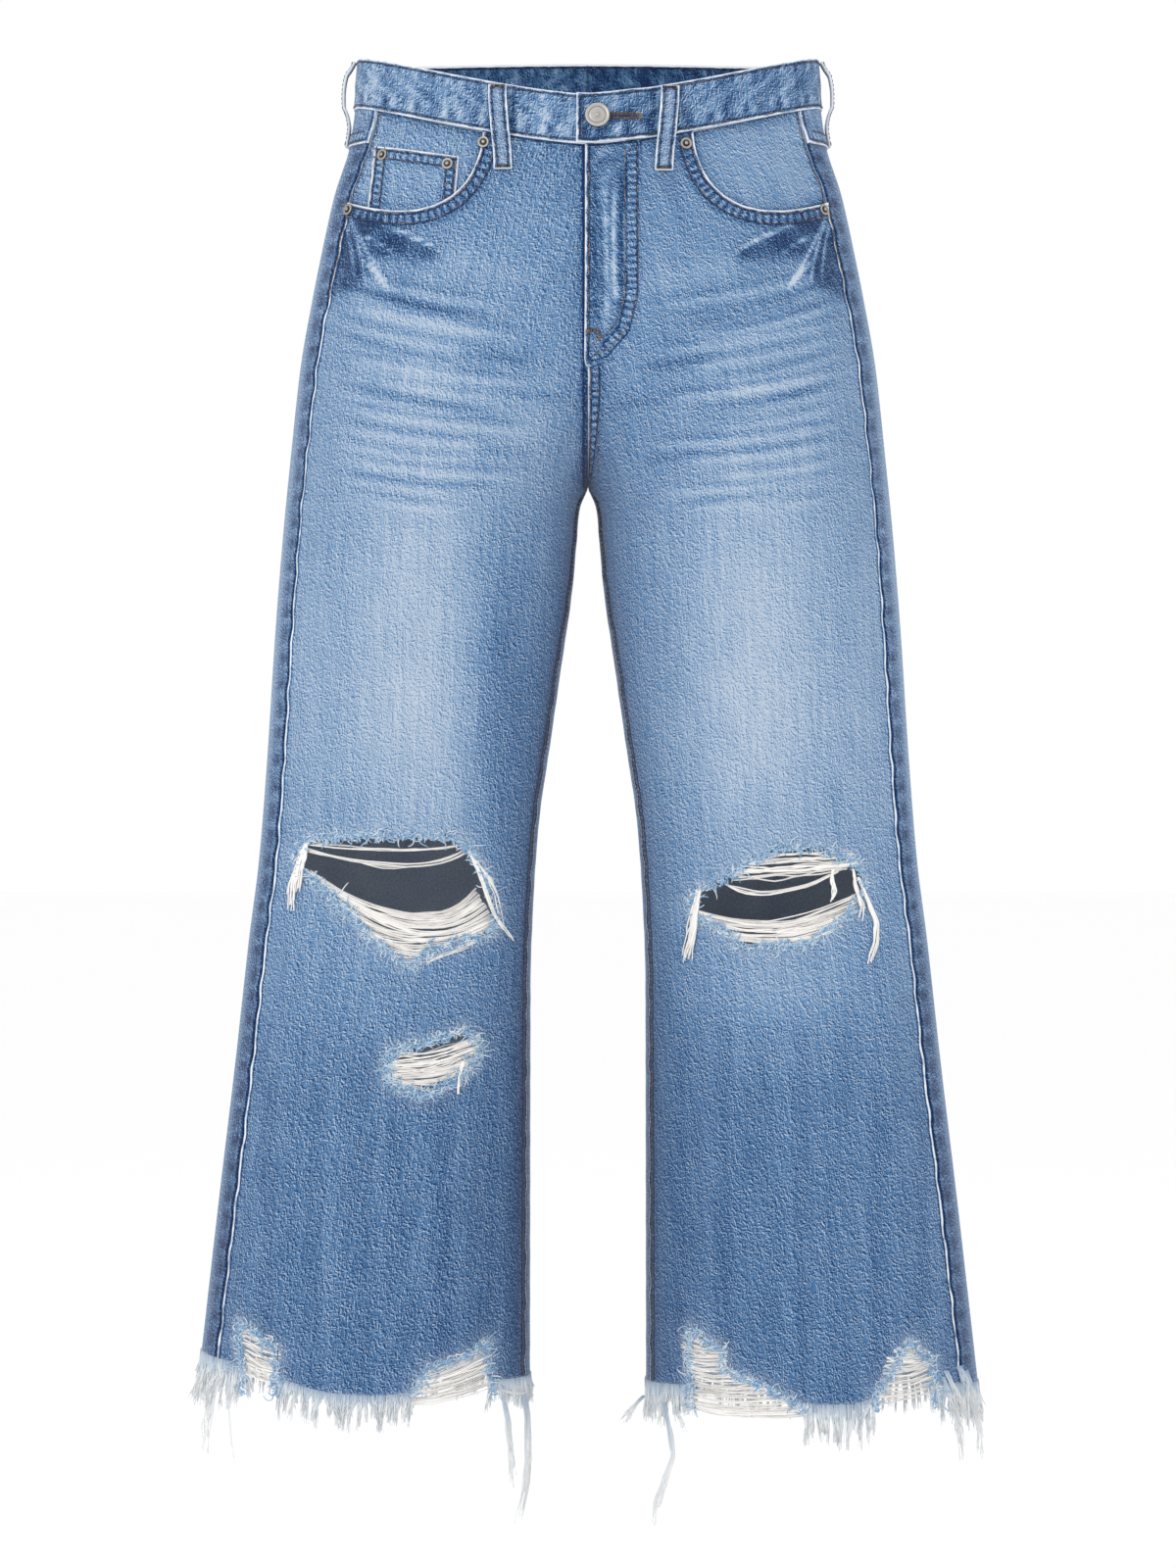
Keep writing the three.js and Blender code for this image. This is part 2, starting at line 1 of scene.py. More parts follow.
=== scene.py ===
"""Ripped wide-leg jeans, filled out as worn but with nobody in them.

The form is worked out in millimetres, as the pattern maker would, and put into the meshes in
metres. The wearer's left is +X and the front faces -Y. The origin is the middle of the waist.
"""

import bpy
import numpy as np
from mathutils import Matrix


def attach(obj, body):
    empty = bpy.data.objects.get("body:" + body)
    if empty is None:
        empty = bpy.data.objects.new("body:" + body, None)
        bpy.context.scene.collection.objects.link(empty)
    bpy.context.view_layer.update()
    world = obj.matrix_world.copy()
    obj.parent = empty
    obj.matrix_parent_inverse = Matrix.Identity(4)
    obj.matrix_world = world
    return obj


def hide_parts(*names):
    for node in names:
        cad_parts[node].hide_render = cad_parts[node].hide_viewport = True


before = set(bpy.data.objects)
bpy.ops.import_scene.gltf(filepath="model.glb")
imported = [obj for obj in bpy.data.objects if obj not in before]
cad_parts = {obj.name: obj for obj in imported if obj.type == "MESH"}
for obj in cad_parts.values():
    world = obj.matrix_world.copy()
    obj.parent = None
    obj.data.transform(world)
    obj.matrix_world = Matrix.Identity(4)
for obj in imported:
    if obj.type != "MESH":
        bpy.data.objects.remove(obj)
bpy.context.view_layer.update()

# ---------------------------------------------------------------- camera and studio
# The jeans are seen straight from the front, level with their middle, from four metres away,
# over a pale floor and against a white world, under broad soft lights.
VIEW_HEIGHT = 1.12
VIEW_DISTANCE = 4.0
MIDDLE_Z = -0.5005

bpy.ops.object.camera_add(location=(0, -VIEW_DISTANCE, MIDDLE_Z), rotation=(np.pi / 2, 0, 0))
camera = bpy.context.object
camera.data.sensor_width = 36.0
camera.data.lens = 36.0 * VIEW_DISTANCE / VIEW_HEIGHT
bpy.context.scene.camera = camera
bpy.context.scene.view_settings.view_transform = "Standard"


def deselect():
    for chosen in list(bpy.context.selected_objects):
        chosen.select_set(False)


def softbox(name, place, turn, size, watts):
    bpy.ops.object.light_add(type="AREA", location=place, rotation=turn)
    light = bpy.context.object
    light.name = name
    light.data.shape = "RECTANGLE"
    light.data.size = size[0]
    light.data.size_y = size[1]
    light.data.energy = watts


softbox("key", (-1.9, -3.2, 1.2), (np.radians(66), 0, np.radians(-31)), (1.8, 2.4), 26)
softbox("fill", (2.3, -2.9, 0.2), (np.radians(82), 0, np.radians(38)), (2.0, 2.6), 4)
softbox("top", (0, -0.4, 2.3), (0, 0, 0), (2.4, 2.0), 8)

world = bpy.data.worlds.new("studio")
world.use_nodes = True
world.node_tree.nodes["Background"].inputs["Color"].default_value = (1, 1, 1, 1)
world.node_tree.nodes["Background"].inputs["Strength"].default_value = 1.0
bpy.context.scene.world = world

deselect()
FLOOR_Z = -1.16
bpy.ops.mesh.primitive_plane_add(size=60, location=(0, 0, FLOOR_Z))
floor = bpy.context.object
floor.name = "floor"
pale = bpy.data.materials.new("pale_floor")
pale.use_nodes = True
pale.node_tree.nodes["Principled BSDF"].inputs["Base Color"].default_value = (0.985, 0.985, 0.985, 1)
pale.node_tree.nodes["Principled BSDF"].inputs["Roughness"].default_value = 0.9
floor.data.materials.append(pale)

# ---------------------------------------------------------------- back panels
# Two panels of washed blue denim, each from the centre back seam and the inseam round to the side
# seam, which lies a little to the front. They hang from the yokes and end in a worn raw hem.
MM = 0.001
CLOTH = 1.4
CROTCH_Z = -289
ROUNDNESS = 2.2
SIDE_X = 165
YOKE_Z = -70.0
HEM_Z = -930.0
FAR = 99.0
# Where the small pieces lie beside the panels in the flat pattern, so that their lint differs.
PATTERN_X = {"pocket": 400, "facing": 700, "coin": 900, "fly": 1100, "band": 1300, "loop": 1700}
# The worn hems, as heights at distances out from the centre.
HEM_EDGE = {
    "left": [
        (30, -929), (70, -927), (110, -934), (150, -938), (187, -938), (204, -932), (246, -925), (282, -930),
    ],
    "right": [
        (30, -925), (67, -924), (122, -930), (150, -932), (182, -930), (200, -926), (238, -913), (282, -907),
    ],
}
SIDES = {"left": 1, "right": -1}


def profile(knots):
    """A monotone cubic through (height, value) knots, which are given from high to low."""
    height = np.array([knot[0] for knot in knots[::-1]], float)
    value = np.array([knot[1] for knot in knots[::-1]], float)
    step = np.diff(value) / np.diff(height)
    slope = np.concatenate([step[:1], np.zeros(len(step) - 1), step[-1:]])
    same = step[:-1] * step[1:] > 0
    mean = 2 * step[:-1] * step[1:] / np.where(same, step[:-1] + step[1:], 1)
    slope[1:-1] = np.where(same, mean, 0)

    def value_at(z):
        z = np.clip(z, height[0], height[-1])
        i = np.clip(np.searchsorted(height, z, side="right") - 1, 0, len(step) - 1)
        w = height[i + 1] - height[i]
        s = (z - height[i]) / w
        low = (1 + 2 * s) * (1 - s) ** 2 * value[i] + s * (1 - s) ** 2 * w * slope[i]
        return low + s * s * (3 - 2 * s) * value[i + 1] - s * s * (1 - s) * w * slope[i + 1]

    return value_at


outer = profile([
    (24, 163), (-20, 166), (-45, 170), (-80, 181), (-120, 190), (-160, 198), (-200, 205),
    (-260, 212), (-320, 218), (-400, 224), (-480, 229), (-555, 235), (-610, 242), (-700, 252),
    (-800, 264), (-940, 280),
])
inner = profile([
    (24, -163), (-20, -166), (-45, -170), (-80, -181), (-120, -172), (-150, -148), (-200, -84),
    (-230, -49), (-260, -19), (-278, -5.5), (-289, 0), (-304, 6), (-332, 8.5), (-360, 11),
    (-416, 19), (-472, 27), (-528, 35), (-584, 39), (-640, 41), (-940, 41.5),
])
front_depth = profile([
    (24, 70), (-17, 75), (-53, 82), (-120, 96), (-200, 101), (-289, 97), (-360, 91), (-450, 83),
    (-560, 76), (-700, 77), (-940, 85),
])
back_depth = profile([
    (24, 79), (-12, 84), (-60, 97), (-120, 113), (-200, 122), (-260, 113), (-289, 106),
    (-330, 100), (-400, 94), (-480, 86), (-560, 80), (-700, 85), (-940, 95),
])
widest = profile([(24, 2), (-200, 6), (-289, 14), (-400, 6), (-560, 2), (-940, 4)])
seam_inboard = profile([(24, 18), (-25, 17), (-90, 14), (-600, 14), (-940, 13.5)])
inseam_turn = profile([(-289, 0), (-300, 0.14), (-360, 0.17), (-430, 0.21), (-940, 0.23)])


def power(v, e):
    return np.sign(v) * np.abs(v) ** e


def oval(z):
    """Centre, half width, depth centre, front depth and back depth of a half's section."""
    half = (outer(z) - inner(z)) / 2
    mid = widest(z)
    return outer(z) - half, half, mid, front_depth(z) + mid, back_depth(z) - mid


def on_form(z, angle):
    """Points of the left half's smooth form. Angles run from its outer side over the front."""
    xc, half, mid, ahead, behind = oval(z)
    c, n = np.cos(angle), np.sin(angle)
    depth = np.where(n >= 0, ahead, behind)
    x = xc + half * power(c, 2 / ROUNDNESS)
    return np.stack(np.broadcast_arrays(x, mid - depth * power(n, 2 / ROUNDNESS), z), -1)


def unit(vectors):
    return vectors / np.maximum(np.linalg.norm(vectors, axis=-1, keepdims=True), 1e-6)


def normal_on_form(z, angle):
    _, half, _, ahead, behind = oval(z)
    depth = np.where(np.sin(angle) >= 0, ahead, behind)
    sharp = 2 - 2 / ROUNDNESS
    nx = power(np.cos(angle), sharp) / half
    ny = -power(np.sin(angle), sharp) / depth
    drift = (on_form(z + 2, angle) - on_form(z - 2, angle)) / 4
    return unit(np.stack(np.broadcast_arrays(nx, ny, -(nx * drift[..., 0] + ny * drift[..., 1])), -1))


def seam_angle(z):
    xc, half = oval(z)[:2]
    return np.arccos(power((outer(z) - seam_inboard(z) - xc) / half, ROUNDNESS / 2))


def crossing(z):
    """Half the angle, about the inner side, over which a section lies past the centre plane."""
    xc, half = oval(z)[:2]
    return np.arccos(np.clip(xc / half, 0, 1) ** (ROUNDNESS / 2))


def front_end(z):
    return np.pi - np.where(z > CROTCH_Z, crossing(z), inseam_turn(z))


def back_start(z):
    return np.pi + np.where(z > CROTCH_Z, crossing(z), -inseam_turn(z))


def back_end(z):
    return 2 * np.pi + seam_angle(z)


def front_angle(x, z):
    """The angle at which the front of the form has a given x."""
    xc, half = oval(z)[:2]
    return np.arccos(power(np.clip((x - xc) / half, -1, 1), ROUNDNESS / 2))


def back_angle(x, z):
    return 2 * np.pi - front_angle(x, z)


def distances(points):
    """How far along a line each of its points is."""
    return np.concatenate([[0], np.cumsum(np.linalg.norm(np.diff(points, axis=0), axis=1))])


def even_angles(z, start, end, shares):
    """Angles from start to end, at shares of the length along the cloth, at one height."""
    fine = np.linspace(start, end, 160)
    run = distances(on_form(np.full(160, z), fine))
    return np.interp(np.asarray(shares) * run[-1], run, fine), run[-1]


def level_angles(z, start, end, shares):
    """Angles at shares of the way across a panel, at one height."""
    return even_angles(z, start(z), end(z), shares)[0]


def panel_grid(top, foot, start, end, shares, rows):
    """Heights, angles and distances along the cloth of a panel's grid, rows running down it."""
    levels = np.arange(-980, 40, 4.0)
    found = [even_angles(z, start(z), end(z), shares) for z in levels]
    table = np.array([angles for angles, _ in found])
    width = np.array([length for _, length in found])
    z = top[None, :] + (foot - top)[None, :] * np.asarray(rows)[:, None]
    angle = np.stack([np.interp(z[:, i], levels, table[:, i]) for i in range(len(shares))], 1)
    across = np.asarray(shares)[None, :] * np.interp(z, levels, width)
    return z, angle, across, np.interp(z, levels, width)


def stroke(x, z, start, end, bow, width):
    """A soft line from start to end, bowed to one side: 1 along its middle, fading to 0."""
    dx, dz = end[0] - start[0], end[1] - start[1]
    length = np.hypot(dx, dz)
    along = ((x - start[0]) * dx + (z - start[1]) * dz) / length**2
    off = ((x - start[0]) * dz - (z - start[1]) * dx) / length
    off = off - bow * 4 * along * (1 - along)
    ends = np.clip(np.minimum(along, 1 - along) * 4, 0, 1)
    return np.exp(-((off / width) ** 2)) * ends * ends * (3 - 2 * ends)


def hump(value, at, width):
    """1 where a value is as given, falling to 0 on both sides of it."""
    return np.exp(-(((value - at) / width) ** 2))


def below(value, limit, soft, height=1.0):
    """A height wherever a value is below a limit, falling softly to 0 above it."""
    past = np.minimum((value - limit) / soft, 500)
    return height / (1 + np.exp(past))


def gauss(x, z, middle, radii, drop=2):
    """1 at the middle of a patch, falling to 0 all round it, the faster up and down by its drop."""
    down = np.abs((z - middle[1]) / radii[1]) ** drop
    return np.exp(-(((x - middle[0]) / radii[0]) ** 2) - down)


def ripple(z, period, shift=0.0):
    """An uneven wave along a seam: two periods that drift against each other."""
    wave = np.sin(2 * np.pi * z / period + shift + 1.3 * np.sin(z / (2.7 * period) + shift))
    return 0.65 * wave + 0.35 * np.sin(2 * np.pi * z / (0.61 * period) + 2.1 * shift)


# The main folds, each as start, end, bow, width and height in the front or back view.
FRONT_FOLDS = [
    ((168, -118), (62, -172), 7, 9, 1.1), ((160, -160), (40, -214), 8, 9, -0.9),
    ((170, -196), (30, -262), 9, 10, 1.0), ((120, -250), (14, -284), 5, 8, -1.0),
    ((60, -300), (150, -420), -10, 16, 0.9), ((34, -330), (84, -520), 8, 16, -1.4),
    ((118, -640), (104, -900), 6, 16, 1.8), ((178, -700), (196, -930), -6, 18, -1.8),
    ((76, -660), (68, -930), 3, 13, -1.5), ((205, -560), (214, -800), 0, 14, 1.2),
    ((150, -500), (90, -540), 5, 14, 1.2), ((60, -500), (150, -470), 5, 12, -0.8),
]
BACK_FOLDS = [
    ((30, -262), (150, -300), -10, 12, -3.0), ((34, -290), (160, -338), -10, 12, 2.2),
    ((60, -330), (180, -372), -8, 12, -2.0), ((70, -540), (200, -560), 6, 12, -2.4),
    ((60, -575), (190, -596), 6, 12, 2.2), ((70, -612), (200, -628), 6, 12, -2.0),
    ((150, -640), (140, -900), 6, 18, 2.0), ((90, -660), (84, -920), -5, 16, -1.8),
    ((200, -650), (220, -930), 0, 16, -1.6), ((40, -130), (120, -116), 5, 10, 1.0),
]


def crease(side, z, angle):
    """How far the cloth stands off the smooth form, in millimetres."""
    place = on_form(z, angle)
    x = place[..., 0]
    ahead = np.sin(angle) >= 0
    shift = 0.0 if side == "left" else 7.0
    height = np.zeros(np.shape(x))
    for start, end, bow, width, rise in FRONT_FOLDS:
        height += np.where(ahead, rise * stroke(x, z + shift, start, end, bow, width), 0)
    for start, end, bow, width, rise in BACK_FOLDS:
        height += np.where(ahead, 0, rise * stroke(x, z - shift, start, end, bow, width))
    turned = np.where(angle > np.pi, angle - 2 * np.pi, angle)
    from_side = np.abs(turned - seam_angle(z)) * np.clip(oval(z)[1], 60, 130)
    height += 0.9 * ripple(z, 31, shift) * np.exp(-from_side / 14) * (z < -60)
    height += 1.0 * np.exp(-((from_side - 3.5) ** 2) / 6) - 0.4 * np.exp(-(from_side**2) / 1.2)
    from_inseam = np.abs(angle - front_end(z)) * 100
    low = np.clip((-285 - z) / 30, 0, 1)
    height += low * 0.7 * ripple(z, 27, shift + 2) * np.exp(-from_inseam / 12)
    return height


def mirrored(side, point, normal):
    mirror = np.array([SIDES[side], 1, 1])
    return point * mirror, normal * mirror


def on_cloth(side, z, angle, out=0.0):
    """Points on the creased cloth of one side of the jeans, and its outward directions."""
    z, angle = np.broadcast_arrays(np.asarray(z, float), np.asarray(angle, float))
    normal = normal_on_form(z, angle)
    height = crease(side, z, angle) + out
    return mirrored(side, on_form(z, angle) + normal * height[..., None], normal)


def sewn(*edges):
    """The nearest of a piece's sewn edges at each point, as tints that the cloth's finish reads.

    Each edge is a distance from it, a place along it, the distance of its second row of stitches
    (0 for none) and how white it has worn.
    """
    shape = np.shape(edges[0][0])
    stacks = [np.stack([np.broadcast_to(value, shape) for value in values]) for values in zip(*edges)]
    nearest = np.argmin(stacks[0], axis=0)[None]
    names = ("edge", "along", "second", "bare")
    return {name: np.take_along_axis(stack, nearest, 0)[0] for name, stack in zip(names, stacks)}


def sheet_of(name, points, pattern, tints, way=1):
    """A sheet of cloth on a grid of points, with its places in the flat pattern and named tints.

    The way is -1 where the grid's columns have to be turned round for its face to point out.
    """
    rows, columns = points.shape[:2]
    tints = {"edge": FAR, "crack": 0.0, "worn": 0.0, **tints}
    deselect()
    bpy.ops.mesh.primitive_grid_add(x_subdivisions=columns - 1, y_subdivisions=rows - 1, size=1)
    piece = bpy.context.object
    piece.name = name
    mesh = piece.data
    mesh.name = name
    mesh.vertices.foreach_set("co", (points[:, ::way] * MM).astype(np.float32).ravel())
    corner = np.empty(len(mesh.loops), dtype=np.int32)
    mesh.loops.foreach_get("vertex_index", corner)
    places = np.stack(np.broadcast_arrays(*pattern), -1)[:, ::way].reshape(-1, 2)
    mesh.uv_layers[0].data.foreach_set("uv", (places[corner] * MM).ravel())
    for tint, values in tints.items():
        layer = mesh.attributes.new(tint, "FLOAT", "POINT")
        layer.data.foreach_set("value", np.broadcast_to(values, (rows, columns))[:, ::way].ravel())
    mesh.update()
    return piece


def choose(piece):
    """Make a piece the active one and the only one selected."""
    deselect()
    bpy.context.view_layer.objects.active = piece
    piece.select_set(True)


def drop_faces(piece, doomed):
    """Delete the faces of a piece that a list of booleans marks."""
    choose(piece)
    bpy.ops.object.mode_set(mode="EDIT")
    bpy.ops.mesh.select_mode(type="FACE")
    bpy.ops.mesh.select_all(action="DESELECT")
    bpy.ops.object.mode_set(mode="OBJECT")
    piece.data.polygons.foreach_set("select", np.asarray(doomed, bool))
    bpy.ops.object.mode_set(mode="EDIT")
    bpy.ops.mesh.delete(type="FACE")
    bpy.ops.object.mode_set(mode="OBJECT")


def thicken(piece, thickness, materials):
    """Give a sheet its thickness inwards, with its own finishes on face, back and cut edge."""
    for material in materials:
        piece.data.materials.append(material)
    choose(piece)
    wall = piece.modifiers.new("cloth", "SOLIDIFY")
    wall.thickness = thickness * MM
    wall.offset = -1
    wall.use_quality_normals = True
    wall.material_offset = 1
    wall.material_offset_rim = 2
    bpy.ops.object.modifier_apply(modifier="cloth")
    bpy.ops.object.shade_smooth()


class Value:
    """A shader socket that can be used in sums: an expression on it adds its Math nodes."""

    def __init__(self, tree, socket=None):
        self.tree = tree
        self.socket = socket

    def plug(self, node, **values):
        """Set or link a node's sockets: each is named, with _ for a space, or numbered, as _0."""
        for key, value in values.items():
            name = int(key[1:]) if key[1:].isdigit() else key.replace("_", " ")
            if isinstance(value, Value):
                self.tree.links.new(value.socket, node.inputs[name])
            else:
                node.inputs[name].default_value = value

    def out(self, kind, output, settings=None, **values):
        """Add a node with its settings and sockets, and give one of its outputs."""
        made = self.tree.nodes.new("ShaderNode" + kind)
        for key, value in (settings or {}).items():
            setattr(made, key, value)
        self.plug(made, **values)
        return Value(self.tree, made.outputs[output])

    def math(self, operation, first, second=0.5):
        return self.out("Math", 0, {"operation": operation}, _0=first, _1=second)

    def __add__(self, other):
        return self.math("ADD", self, other)

    def __radd__(self, other):
        return self.math("ADD", other, self)

    def __sub__(self, other):
        return self.math("SUBTRACT", self, other)

    def __rsub__(self, other):
        return self.math("SUBTRACT", other, self)

    def __mul__(self, other):
        return self.math("MULTIPLY", self, other)

    def __rmul__(self, other):
        return self.math("MULTIPLY", other, self)

    def clamp(self):
        return self.math("MINIMUM", self.math("MAXIMUM", self, 0.0), 1.0)

    def near(self, middle, sharpness):
        """1 where this value is at the middle, falling to 0 on both sides of it."""
        return (1.0 - self.math("ABSOLUTE", self - middle) * sharpness).clamp()

    def ramp(self, stops):
        """The colour that this value picks from (place, web colour) stops."""
        made = self.tree.nodes.new("ShaderNodeValToRGB")
        elements = made.color_ramp.elements
        while len(elements) < len(stops):
            elements.new(0.5)
        for element, (place, code) in zip(elements, stops):
            element.position = place
            element.color = srgb(code)
        self.plug(made, Fac=self)
        return Value(self.tree, made.outputs["Color"])

    def tint(self, name):
        return self.out("Attribute", "Fac", {"attribute_name": name})

    def noise(self, place, scale, detail, distortion=0.0):
        values = {"Scale": scale, "Detail": detail, "Distortion": distortion}
        return self.out("TexNoise", "Fac", Vector=place, **values)

    def bump(self, strength, distance, height):
        return self.out("Bump", "Normal", Strength=strength, Distance=distance, Height=height)


def new_material(name):
    """A material, its shader and a Value to build expressions from."""
    material = bpy.data.materials.new(name)
    material.use_nodes = True
    tree = material.node_tree
    return material, tree.nodes["Principled BSDF"], Value(tree)


def srgb(code):
    """The linear colour of a colour written as a web code."""
    parts = [int(code[i : i + 2], 16) / 255 for i in (1, 3, 5)]
    return (*(p / 12.92 if p <= 0.04045 else ((p + 0.055) / 1.055) ** 2.4 for p in parts), 1)


INDIGO = [
    (0.0, "#0b2750"), (0.2, "#244975"), (0.42, "#476e99"), (0.6, "#6087b0"), (0.8, "#8aa3bf"),
    (1.0, "#b8c3d0"),
]
BARE_YARN = "#e9eef4"
LINT_SCALE = 420.0


def denim(name, lint_strength, shift=0.0):
    """Washed denim: a tint of worn fading and painted shade picks its blue, and pale lint squiggles
    lie all over it, each with a painted shadow beside it.

    The edge, along, second and bare tints draw each seam: a white worn fold, the groove of one
    or two rows of stitches, darkened as painted shade, the rope of puckers between them, and
    a painted shade just past a double seam.
    """
    material, shader, v = new_material(name)
    place = v.out("UVMap", "UV")
    # This tint holds both worn fading and painted shade.
    fade_and_shade = v.tint("fade_and_shade")
    worn = v.tint("worn")
    stretched = v.out("Mapping", "Vector", Vector=place, Scale=(1.0, 0.72, 1.0))
    # Pale lint squiggles, and a copy shifted a little aside that darkens the cloth beside each one: a
    # painted shadow, as if the squiggles were lit from one side.
    line = v.noise(stretched, LINT_SCALE, 0.5, 1.1).near(0.5, 12.0)
    squiggle_shadow_place = v.out("Mapping", "Vector", Vector=stretched, Location=(0.0006, -0.0006, 0))
    shade = v.noise(squiggle_shadow_place, LINT_SCALE, 0.5, 1.1).near(0.5, 12.0)
    cracks = v.tint("crack")
    vein = v.noise(place, 46.0, 1.6, 0.9).near(0.5, 24.0)
    blotch = v.noise(place, 120.0, 1.0)
    grain = v.noise(place, 760.0, 2.0)
    cloud = v.noise(place, 38.0, 3.0)
    slub = v.out("Mapping", "Vector", Vector=place, Scale=(1.0, 0.05, 1.0))
    streak = v.noise(slub, 330.0, 2.0)
    tone = fade_and_shade + (line - 0.3) * lint_strength * (1.3 - fade_and_shade * 0.7) + (grain - 0.5) * 0.14
    tone += (cloud - 0.5) * 0.16 + (streak - 0.5) * 0.34
    # The squiggles' painted shadow.
    tone = tone - shade * (0.74 - fade_and_shade * 0.35) + 0.15
    tone = tone + (vein * 0.5 + (blotch - 0.5) * 0.5) * cracks + shift
    edge = v.tint("edge")
    along = v.tint("along")
    second = v.tint("second")
    whiteness = v.tint("bare")
    double = second.clamp()
    groove = edge.near(2.5, 0.85)
    outer_groove_shade = edge.near(second, 0.8) * double
    felled = (second - edge).clamp() * (edge - 2.7).clamp()
    rope = v.math("SINE", along * 1.25 + cloud * 7.0) * felled
    halo_shade = (edge - second).near(2.6, 0.4) * double
    # Dark grooves along stitch rows and beside folded edges, and a halo past a double seam: painted shade.
    # The rope of puckers is wear.
    tone = tone - groove * 0.62 - outer_groove_shade * 0.55 + rope * 0.24 - felled * 0.04 - halo_shade * 0.12
    frayed = (1.4 - edge - (blotch - 0.5) * 2.4).clamp() * (0.55 + cloud * 0.7) * whiteness
    blue = tone.clamp().ramp(INDIGO)
    thin = (worn + (line - 0.5) * 0.6 * worn + (grain - 0.5) * worn).clamp()
    bare = v.math("MAXIMUM", thin, frayed)
    mixed = v.out("Mix", 2, {"data_type": "RGBA"}, _0=bare, _6=blue, _7=srgb(BARE_YARN))
    v.plug(shader, Base_Color=mixed, Roughness=0.92, Specular_IOR_Level=0.22, Sheen_Weight=0.18)
    v.plug(shader, Sheen_Roughness=0.5)
    diagonal = v.out("Mapping", "Vector", Vector=place, Rotation=(0, 0, np.radians(63)))
    twill = v.out("TexWave", "Fac", {"wave_profile": "SIN"}, Vector=diagonal, Scale=160.0)
    v.plug(shader, Normal=v.bump(0.55, 0.00014, twill * 0.35 + line * 0.7 + grain * 0.5))
    return material


def make_inside():
    """The back of the twill: mostly undyed weft, so a pale grey-blue."""
    material, shader, v = new_material("denim_inside")
    place = v.out("UVMap", "UV")
    grain = v.noise(place, 700.0, 2.0)
    cloud = v.noise(place, 30.0, 3.0)
    colour = (grain * 0.7 + cloud * 0.3).clamp().ramp([(0.3, "#97a5b8"), (0.7, "#d2d9e3")])
    v.plug(shader, Base_Color=colour, Roughness=0.95, Normal=v.bump(0.4, 0.0001, grain))
    return material


def make_cut_edge():
    """A cut or worn-through edge, where the white core of the yarn shows."""
    material, shader, v = new_material("worn_edge")
    grain = v.noise(v.out("TexCoord", "Object"), 500.0, 2.0)
    v.plug(shader, Base_Color=grain.ramp([(0.35, "#9db2cf"), (0.6, "#e2e7ee")]), Roughness=0.95)
    return material


denim_face = denim("washed_denim", 0.62)
denim_inside = make_inside()
worn_edge = make_cut_edge()
CLOTH_FINISHES = [denim_face, denim_inside, worn_edge]


def hem_line(x, side):
    edge = np.array(HEM_EDGE[side], float)
    return np.interp(x, edge[:, 0], edge[:, 1])


def yoke_seam(x):
    return -98 + 51 * np.clip(np.abs(x) / SIDE_X, 0, 1)


def edge_shares(width, fine, coarse):
    """Shares across a panel, close together near its two seams and coarser between them."""
    near = np.arange(0, 9, fine) / width
    between = np.linspace(9 / width, 1 - 9 / width, int((width - 18) / coarse))
    return np.concatenate([near, between, 1 - near[::-1]])


def hem_rag(x, side):
    """The worn hem's uneven lower edge."""
    shift = 0 if side == "left" else 3
    return 1.5 * np.sin(x / 3.1 + shift) + 1.2 * np.sin(x / 1.3 + 2 * shift)


BACK_LEVELS = [-960, -800, -640, -450, -300, -150, -60]
BACK_TONES = [0.44, 0.43, 0.5, 0.6, 0.58, 0.56, 0.5]


def back_fade_and_shade(x, z, from_side, from_inseam):
    """Paler over the seat and the back of the thigh, darker down the leg and by the seams, with
    painted shade in the crotch and on the strip by the side seam, where the back turns away.
    """
    tone = np.interp(z, BACK_LEVELS, BACK_TONES)
    tone += 0.26 * gauss(x, z, (95, -195), (60, 62))
    tone += 0.28 * gauss(x, z, (125, -410), (56, 120), 3)
    for start, end, bow, width, rise in BACK_FOLDS[:6]:
        tone += 0.05 * rise * stroke(x, z, start, end, bow, width * 0.8)
    tone = tone + 0.34 * ripple(z, 17, 1.0) * hump(from_side, 9, 7) + 0.04
    # Painted shade on the strip beside the side seam, where the back turns away.
    tone -= 0.36 * hump(from_side, 10, 11)
    # Painted shade in the hollow of the crotch.
    tone -= 0.6 * gauss(x, z, (0, -284), (9, 9))
    tone -= 0.22 * np.exp(-from_inseam / 14)
    tone += 0.14 * ripple(z, 17, 2.0) * np.exp(-from_inseam / 9)
    return tone


for side, sign in SIDES.items():
    shares = edge_shares(345, 1.5, 5.4)
    top_x = on_form(YOKE_Z, level_angles(YOKE_Z, back_start, back_end, shares))[:, 0]
    foot_x, foot_y = on_form(HEM_Z, level_angles(HEM_Z, back_start, back_end, shares)).T[:2]
    foot = hem_line(foot_x, side) + hem_rag(foot_x + foot_y, side)
    z, angle, across, width = panel_grid(
        yoke_seam(top_x), foot, back_start, back_end, shares, np.linspace(0, 1, 190)
    )
    point, _ = on_cloth(side, z, angle)
    # The side seam's edge is set so that a groove of painted shade runs just beside it.
    side_seam = ((width - across) * 0.9 + 1.8, z, 0, 0.0)
    centre_seam = (across, z, np.where((z > -284) & (sign > 0), 8.6, 0), 0.4)
    tints = {
        "fade_and_shade": back_fade_and_shade(np.abs(point[..., 0]), z, width - across, across),
        "worn": 0.5 * np.clip((z - foot[None, :]) < 4, 0, 1),
        **sewn(side_seam, centre_seam),
    }
    back = sheet_of("back_panel_" + side, point, (across * sign, z), tints, sign)
    thicken(back, CLOTH, CLOTH_FINISHES)
    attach(back, "root")
    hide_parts("back_" + side)

